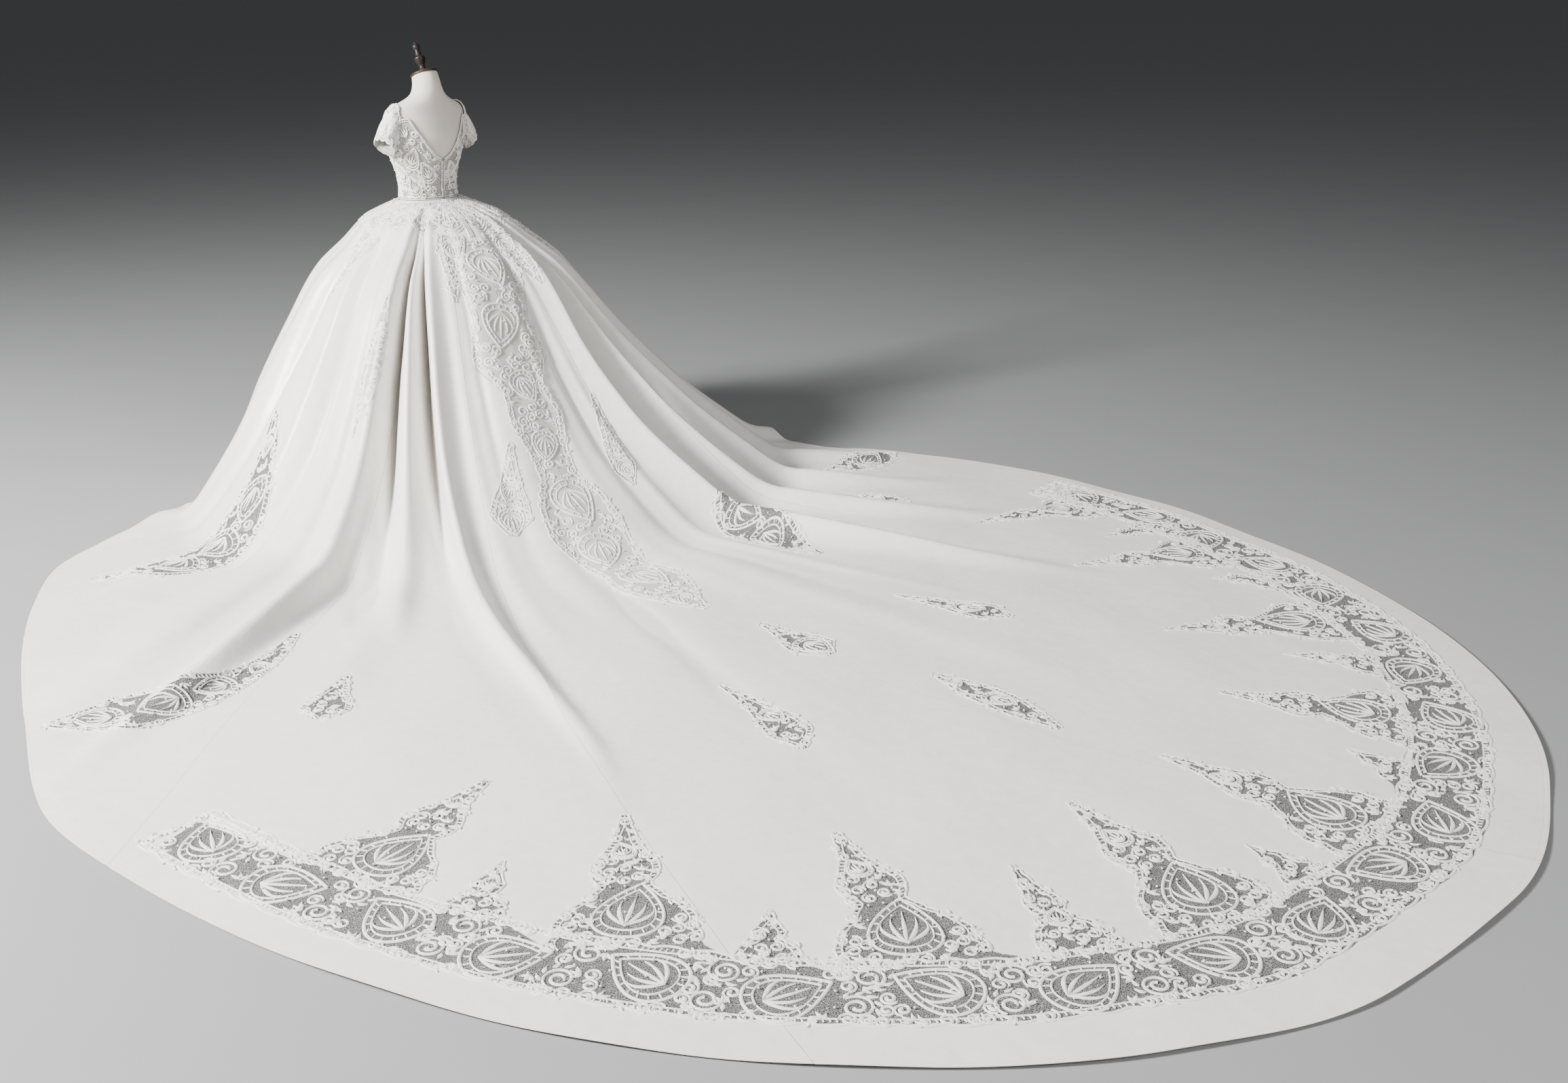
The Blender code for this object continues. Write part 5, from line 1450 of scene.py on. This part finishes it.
def clipped(strokes):
    """The strokes that lie wholly inside the bodice."""
    kept = []
    for stroke in strokes:
        path = stroke.path
        angle = np.degrees(path[:, 0] / BODICE_GIRTH)
        top = neck_curve(np.abs(turn_between(angle, 0.0)))
        inside = (path[:, 1] < top - 0.004) & (path[:, 1] > BODICE_BOTTOM + 0.002)
        clear = np.abs(path[:, 0]) > 0.006
        if (inside & clear).all():
            kept.append(stroke)
    return kept


def make_bodice_lace():
    """Vines up every panel with fronds and volutes, and cords along the edges."""
    strokes = []
    beads = []
    for n, turn in enumerate(np.linspace(-166.0, 166.0, 13)):
        x = math.radians(turn) * BODICE_GIRTH
        heights = np.linspace(BODICE_BOTTOM + 0.004, 1.388, 60)
        bow = 0.005 * np.sin((heights - BODICE_BOTTOM) * 30.0 + n)
        ground = Ground(pair(x + bow, heights), np.full(60, 0.0300))
        taken = []
        for k, at in enumerate(np.arange(0.045 + 0.050 * (n % 2), 0.29, 0.100)):
            spot = ground.place(at, 0.006 if k % 2 else -0.006)
            heading = math.pi / 2.0 + (0.45 if k % 2 else -0.45)
            taken.append(Medallion(spot, heading, 0.082, 0.058))
        for medallion in taken:
            strokes += clipped(medallion.strokes(1.05))
        strokes += clipped(filler_strokes(ground, 0.0240, 1.0, taken))
        beads += [ground.place(at, 0.0) for at in np.arange(0.03, 0.27, 0.035)]
    for side in (1.0, -1.0):
        turns = np.linspace(2.5, 177.0, 170) * side
        x = np.radians(turns) * BODICE_GIRTH
        top = neck_curve(np.abs(turns))
        for inset, width in ((0.002, 0.0050), (0.010, 0.0034)):
            strokes.append(even(pair(x, top - inset), width, 1.0))
        for k in range(3, 167, 3):
            run = np.linspace(top[k] - 0.008, top[k] - 0.003, 3)
            strokes.append(even(pair(x[k], run), 0.0018, 0.8))
        for height in (BODICE_BOTTOM + 0.003, BODICE_BOTTOM + 0.010):
            strokes.append(even(pair(x, height), 0.0028, 1.0))
    lay_lace("bodice_cords", strokes, bodice_rows, "corded_lace")
    rows = np.array(beads)
    angle = np.degrees(rows[:, 0] / BODICE_GIRTH)
    low = rows[:, 1] < neck_curve(np.abs(turn_between(angle, 0.0))) - 0.008
    return bodice_rows(rows[low])


PLACKET_TOP = 1.228
PLACKET_BOTTOM = 1.094
ZIP_TEETH = 46


def make_placket():
    """The fly over the zip: a narrow folded strip, with the top of the zip showing."""
    columns, rows = 10, 40
    across = np.linspace(-1.0, 1.0, columns + 1)[None, :]
    share = np.linspace(0.0, 1.0, rows + 1)[:, None]
    angle = across * 3.2 + 0.0 * share
    height = PLACKET_BOTTOM + (PLACKET_TOP - PLACKET_BOTTOM) * share + 0.0 * across
    fold = 0.0012 * np.exp(-((across + 0.35) / 0.22) ** 2) + 0.0010 * (1.0 - across**2)
    out = (BODICE_OUT + 0.0012 + fold + 0.0 * share).ravel()
    points, normals = torso_surface(angle.ravel(), height.ravel(), out)
    made = grid_mesh("placket_fly", columns, rows, points)
    turn_outward(made, normals)
    paint(made, "seam", (np.abs(across - 0.72) * 0.007 + 0.0 * share).ravel())
    area = mesh_area(made)
    wall(made, FLY_WALL)
    dress(made, bodice_net, "corded_lace", "zip_placket")
    area = min(float(area), 0.002)


def make_zip():
    """Stitched edges of the fly, the teeth that show beside it, and the pull at the top."""
    heights = np.linspace(PLACKET_BOTTOM + 0.002, PLACKET_TOP - 0.003, 60)
    strokes = []
    for x, width in ((-0.0066, 0.0022), (0.0066, 0.0022), (0.0030, 0.0011)):
        strokes.append(even(pair(x, heights), width, 0.6))
    for height in np.linspace(heights[0], heights[-1], ZIP_TEETH):
        strokes.append(even(pair(np.linspace(0.0014, 0.0046, 3), height), 0.0012, 0.5))
    tab = np.linspace(heights[-1] - 0.012, heights[-1] - 0.001, 4)
    strokes.append(even(pair(0.0030, tab), 0.0034, 1.0))

    def surface(rows):
        angle = np.degrees(rows[:, 0] / BODICE_GIRTH)
        return torso_surface(angle, rows[:, 1], BODICE_OUT + 0.0034)

    lay_lace("placket_zip", strokes, surface, "corded_lace")


# The sleeves.

PROBE = 0.001
CLEARING_ROUNDS = 6
SLEEVE_CLEAR = 0.0068
SLEEVE_SEAT = 0.0046
ARMHOLE_TOP = (0.1320, 0.024, 1.418)
ARMHOLE_BOTTOM = (0.1560, 0.006, 1.272)
ARMHOLE_DEPTH = 0.042
SLEEVE_HEM_TOP = (0.2050, 0.014, 1.303)
SLEEVE_HEM_BOTTOM = (0.1630, 0.008, 1.250)
SLEEVE_HEM_DEPTH = 0.053
SLEEVE_PUFF = 0.010
SLEEVE_TUCK = 0.03
SLEEVE_PULL = 6.0
SLEEVE_ROUND = 0.40
SLEEVE_DROP = 0.11
SLEEVE_SCALLOPS = 11.0
PUFF_WAY = np.array([0.45, 0.0, 0.9])


def form_depth(p):
    z = np.clip(p[..., 2], TORSO[0].height, TORSO[-1].height)
    x = p[..., 0] / half_width_at(z)
    y = (p[..., 1] - back_at(z)) / half_depth_at(z)
    return np.hypot(x, y) - 1.0


def off_form(p, clear, pull):
    """The points, given left, back and up, moved clear of the form, or down to it by pull."""
    for _ in range(CLEARING_ROUNDS):
        here = form_depth(p)
        slope = np.stack([(form_depth(p + step) - here) / PROBE for step in np.eye(3) * PROBE], -1)
        size = np.linalg.norm(slope, axis=-1)
        short = clear - here / size
        short = np.where(short > 0.0, short, short * pull)
        p = p + slope / size[..., None] * short[..., None]
    return p


def sleeve_point(side, u, v):
    """Round the sleeve by u from its top, and from armhole to hem by v."""
    turn = 2.0 * math.pi * u
    rings = []
    rows = (
        (ARMHOLE_TOP, ARMHOLE_BOTTOM, ARMHOLE_DEPTH),
        (SLEEVE_HEM_TOP, SLEEVE_HEM_BOTTOM, SLEEVE_HEM_DEPTH),
    )
    for top, bottom, depth in rows:
        top, bottom = np.array(top), np.array(bottom)
        middle, rise = (top + bottom) / 2.0, (top - bottom) / 2.0
        deep = np.stack([0.0 * turn, depth * np.sin(turn), 0.0 * turn], -1)
        rings.append(middle + rise * np.cos(turn)[..., None] + deep)
    v = np.asarray(v)[..., None]
    point = rings[0] * (1.0 - v) + rings[1] * v
    bulge = SLEEVE_PUFF * np.sin(math.pi * v) * (1.0 + np.cos(turn))[..., None] / 2.0
    fade = np.sin(math.pi * np.clip(1.0 - v, 0.0, 1.0) ** 0.6)
    ripple = 0.0020 * np.sin(turn * 9.0)[..., None] * fade
    clear = np.squeeze(SLEEVE_SEAT + (SLEEVE_CLEAR - SLEEVE_SEAT) * np.clip(v * 3.0, 0.0, 1.0), -1)
    pull = np.squeeze(np.clip(1.0 - v * SLEEVE_PULL, 0.0, 1.0), -1)
    point = off_form(point + PUFF_WAY * (bulge + ripple), clear, pull)
    return from_body(side * point[..., 0], point[..., 1], point[..., 2])


def sleeve_surface(side, u, v):
    here = sleeve_point(side, u, v)
    across = sleeve_point(side, u + 0.004, v) - here
    along = sleeve_point(side, u, v + 0.01) - here
    return here, unit(np.cross(along, across)) * side


def make_sleeve(name, side):
    """A cap sleeve with a scalloped hem, and its cords."""
    columns, rows = 120, 26
    round_ = np.linspace(0.0, 1.0, columns + 1)[None, :]
    share = np.linspace(0.0, 1.0, rows + 1)[:, None]
    scallop = 0.05 * np.abs(np.sin(math.pi * SLEEVE_SCALLOPS * round_))
    u = (round_ + np.zeros((rows + 1, 1))).ravel()
    v = (share * (0.93 + SLEEVE_TUCK + scallop) - SLEEVE_TUCK).ravel()
    points, normals = sleeve_surface(side, u, v)
    made = grid_mesh(name + "_net", columns, rows, points)
    turn_outward(made, normals)
    paint(made, "seam", np.full(len(points), 0.02))
    area = mesh_area(made)
    wall(made, SLEEVE_WALL)
    dress(made, bodice_net, "corded_lace", name)
    area = min(float(area), 0.0572)

    def surface(places):
        return sleeve_surface(side, places[:, 0] / SLEEVE_ROUND, places[:, 1] / SLEEVE_DROP)

    strokes = []
    x = np.linspace(0.0, SLEEVE_ROUND, 121)
    wave = np.abs(np.sin(math.pi * SLEEVE_SCALLOPS * x / SLEEVE_ROUND))
    edge = SLEEVE_DROP * (0.93 + 0.05 * wave)
    for inset, width in ((0.002, 0.0050), (0.010, 0.0034)):
        strokes.append(even(pair(x, edge - inset), width, 1.0))
    share = np.linspace(0.0, 1.0, 9)
    for k in range(11):
        root = (k + 0.5) * SLEEVE_ROUND / SLEEVE_SCALLOPS
        for lean in (-0.9, -0.5, 0.0, 0.5, 0.9):
            fan = root + lean * 0.016 * np.sin(share * math.pi / 2.0)
            strokes.append(leaf(pair(fan, 0.012 + (0.082 - 0.012 * abs(lean)) * share), 0.0068))
        beside = np.array([(k + 1.0) * SLEEVE_ROUND / SLEEVE_SCALLOPS % SLEEVE_ROUND, 0.055])
        strokes += paisley_strokes(beside, 0.040, 1.57)
    strokes.append(even(pair(x, 0.003 - SLEEVE_DROP * SLEEVE_TUCK), 0.0046, 1.0))
    band = Ground(pair(x, 0.044), np.full(len(x), 0.050))
    strokes += filler_strokes(band, 0.020, 0.85, [])
    lay_lace(name + "_cords", strokes, surface, "corded_lace")


# Cap and finial of the form.

ProfileRow = namedtuple("ProfileRow", "radius along")
CAP = table(
    ProfileRow,
    (0.0, 0.0), (0.0470, 0.0), (0.0492, 0.0012), (0.0500, 0.0032), (0.0496, 0.0066),
    (0.0478, 0.0086), (0.0440, 0.0102), (0.0340, 0.0118), (0.0200, 0.0132), (0.0, 0.0140),
)
FINIAL = table(
    ProfileRow,
    (0.0, 0.0), (0.0148, 0.0), (0.0150, 0.0012), (0.0128, 0.0050), (0.0104, 0.0100),
    (0.0100, 0.0140), (0.0108, 0.0176), (0.0120, 0.0208), (0.0148, 0.0262), (0.0172, 0.0320),
    (0.0190, 0.0372), (0.0197, 0.0400), (0.0190, 0.0424), (0.0140, 0.0452), (0.0112, 0.0500),
    (0.0102, 0.0560), (0.0088, 0.0620), (0.0084, 0.0660), (0.0110, 0.0692), (0.0128, 0.0736),
    (0.0130, 0.0778), (0.0112, 0.0826), (0.0086, 0.0858), (0.0074, 0.0892), (0.0052, 0.0920),
    (0.0026, 0.0932), (0.0, 0.0935),
)
TURNED_STEPS = 56
FINIAL_GAIN = 1.14
NECK_TILT = math.radians(TORSO[-1].tilt)
NECK_AXIS = from_body(0.0, -math.sin(NECK_TILT), math.cos(NECK_TILT)) - from_body(0.0, 0.0, 0.0)
SEAT_GAP = 0.0003


def turned(name, rows, start, finish, slot_name, node):
    """Rows spun round an axis that leans to the front from its start."""
    bm = bmesh.new()
    verts = [bm.verts.new((row.radius, 0.0, row.along)) for row in rows]
    edges = [bm.edges.new(pair) for pair in zip(verts, verts[1:])]
    bmesh.ops.spin(
        bm, geom=verts + edges, cent=(0.0, 0.0, 0.0), axis=(0.0, 0.0, 1.0),
        angle=2.0 * math.pi, steps=TURNED_STEPS, use_merge=True,
    )
    bmesh.ops.remove_doubles(bm, verts=bm.verts, dist=1e-6)
    bmesh.ops.recalc_face_normals(bm, faces=bm.faces)
    turn = Vector((0.0, 0.0, 1.0)).rotation_difference(Vector(NECK_AXIS)).to_matrix().to_4x4()
    bm.transform(Matrix.Translation(Vector(start)) @ turn)
    mesh = mesh_from(bm, name)
    mesh.shade_smooth()
    mesh.set_sharp_from_angle(angle=math.radians(38.0))
    dress(add_object(name, mesh), finish, slot_name, node)


def make_neck():
    top = TORSO[-1]
    start = from_body(0.0, top.back, top.height) + NECK_AXIS * SEAT_GAP
    turned("neck_cap_turned", CAP, start, red_wood, "polished_wood", "neck_cap")
    start = start + NECK_AXIS * (CAP[-1].along + SEAT_GAP)
    tall = [ProfileRow(row.radius * 1.05, row.along * FINIAL_GAIN) for row in FINIAL]
    turned("neck_finial_turned", tall, start, dark_wood, "dark_wood", "neck_finial")


# Everything in order.

for index, gore in enumerate(GORES):
    make_gore(index, gore)

bead_sets = [skirt_surface(np.array(make_border())), skirt_surface(np.array(make_insets()))]
bead_sets.append(make_spine())
bead_sets += make_appliques()
bead_sets.append(make_yoke())
make_form()
make_bodice()
bead_sets.append(make_bodice_lace())
make_placket()
make_zip()
make_sleeve("sleeve_left", 1.0)
make_sleeve("sleeve_right", -1.0)
make_neck()

bead_points = np.concatenate([points for points, _ in bead_sets])
bead_normals = np.concatenate([normals for _, normals in bead_sets])
beads = bead_mesh("lace_beads", bead_points + bead_normals * BEAD_LIFT, bead_normals, BEAD_SIZE)
dress(beads, pearl, "corded_lace")

for name in ("stand_pole", "stand_base"):
    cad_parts[name].data.materials.clear()
    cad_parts[name].data.materials.append(dark_wood)

# Floor, light and camera.

FLOOR_SIZE = 260.0
bm = bmesh.new()
bmesh.ops.create_grid(bm, x_segments=1, y_segments=1, size=FLOOR_SIZE)
bmesh.ops.translate(bm, verts=bm.verts, vec=(0.0, 0.0, -0.0005))
studio_floor = add_object("studio_floor", mesh_from(bm, "studio_floor"))
floor_finish = Finish("pale studio floor")
speck = floor_finish.noise(3.0, 4.0)
floor_colour = floor_finish.mix(speck, (0.30, 0.30, 0.30, 1.0), (0.275, 0.275, 0.28, 1.0))
floor_finish.set(Base_Color=floor_colour, Roughness=0.7 + speck * 0.1)
studio_floor.data.materials.append(floor_finish.material)

LampRow = namedtuple("LampRow", "name place aim size power")
LAMPS = table(
    LampRow,
    ("key softbox", (6.0, 0.6, 4.0), (0.2, 1.2, 0.3), 1.5, 1900.0),
    ("back softbox", (-1.0, 9.0, 4.2), (0.2, 1.6, 0.2), 2.4, 340.0),
    ("top softbox", (0.5, 0.0, 5.5), (0.0, 1.6, 0.0), 3.0, 30.0),
)
for row in LAMPS:
    lamp = bpy.data.lights.new(row.name, "AREA")
    lamp.energy = row.power
    lamp.size = row.size
    holder = bpy.data.objects.new(row.name, lamp)
    place, aim = Vector(row.place), Vector(row.aim)
    turn = (aim - place).to_track_quat("-Z", "Y").to_matrix().to_4x4()
    holder.matrix_world = Matrix.Translation(place) @ turn
    bpy.context.scene.collection.objects.link(holder)

world = bpy.data.worlds.new("studio")
bpy.context.scene.world = world
world.use_nodes = True
world.node_tree.nodes["Background"].inputs["Color"].default_value = (0.74, 0.76, 0.78, 1.0)
world.node_tree.nodes["Background"].inputs["Strength"].default_value = 0.15

CAMERA_PLACE = Vector((2.484, 5.462, 1.87))
CAMERA_HEADING = Vector((-0.6, -0.8, 0.0))
CAMERA_PITCH = math.radians(20.0)
lens = bpy.data.cameras.new("photo camera")
lens.sensor_width = 36.0
lens.lens = 36.0
lens.clip_end = 200.0
camera = bpy.data.objects.new("photo camera", lens)
ahead = CAMERA_HEADING * math.cos(CAMERA_PITCH) - Vector((0.0, 0.0, math.sin(CAMERA_PITCH)))
right = ahead.cross(Vector((0.0, 0.0, 1.0))).normalized()
upward = right.cross(ahead)
turn = Matrix((right, upward, -ahead)).transposed().to_4x4()
camera.matrix_world = Matrix.Translation(CAMERA_PLACE) @ turn
bpy.context.scene.collection.objects.link(camera)
bpy.context.scene.camera = camera
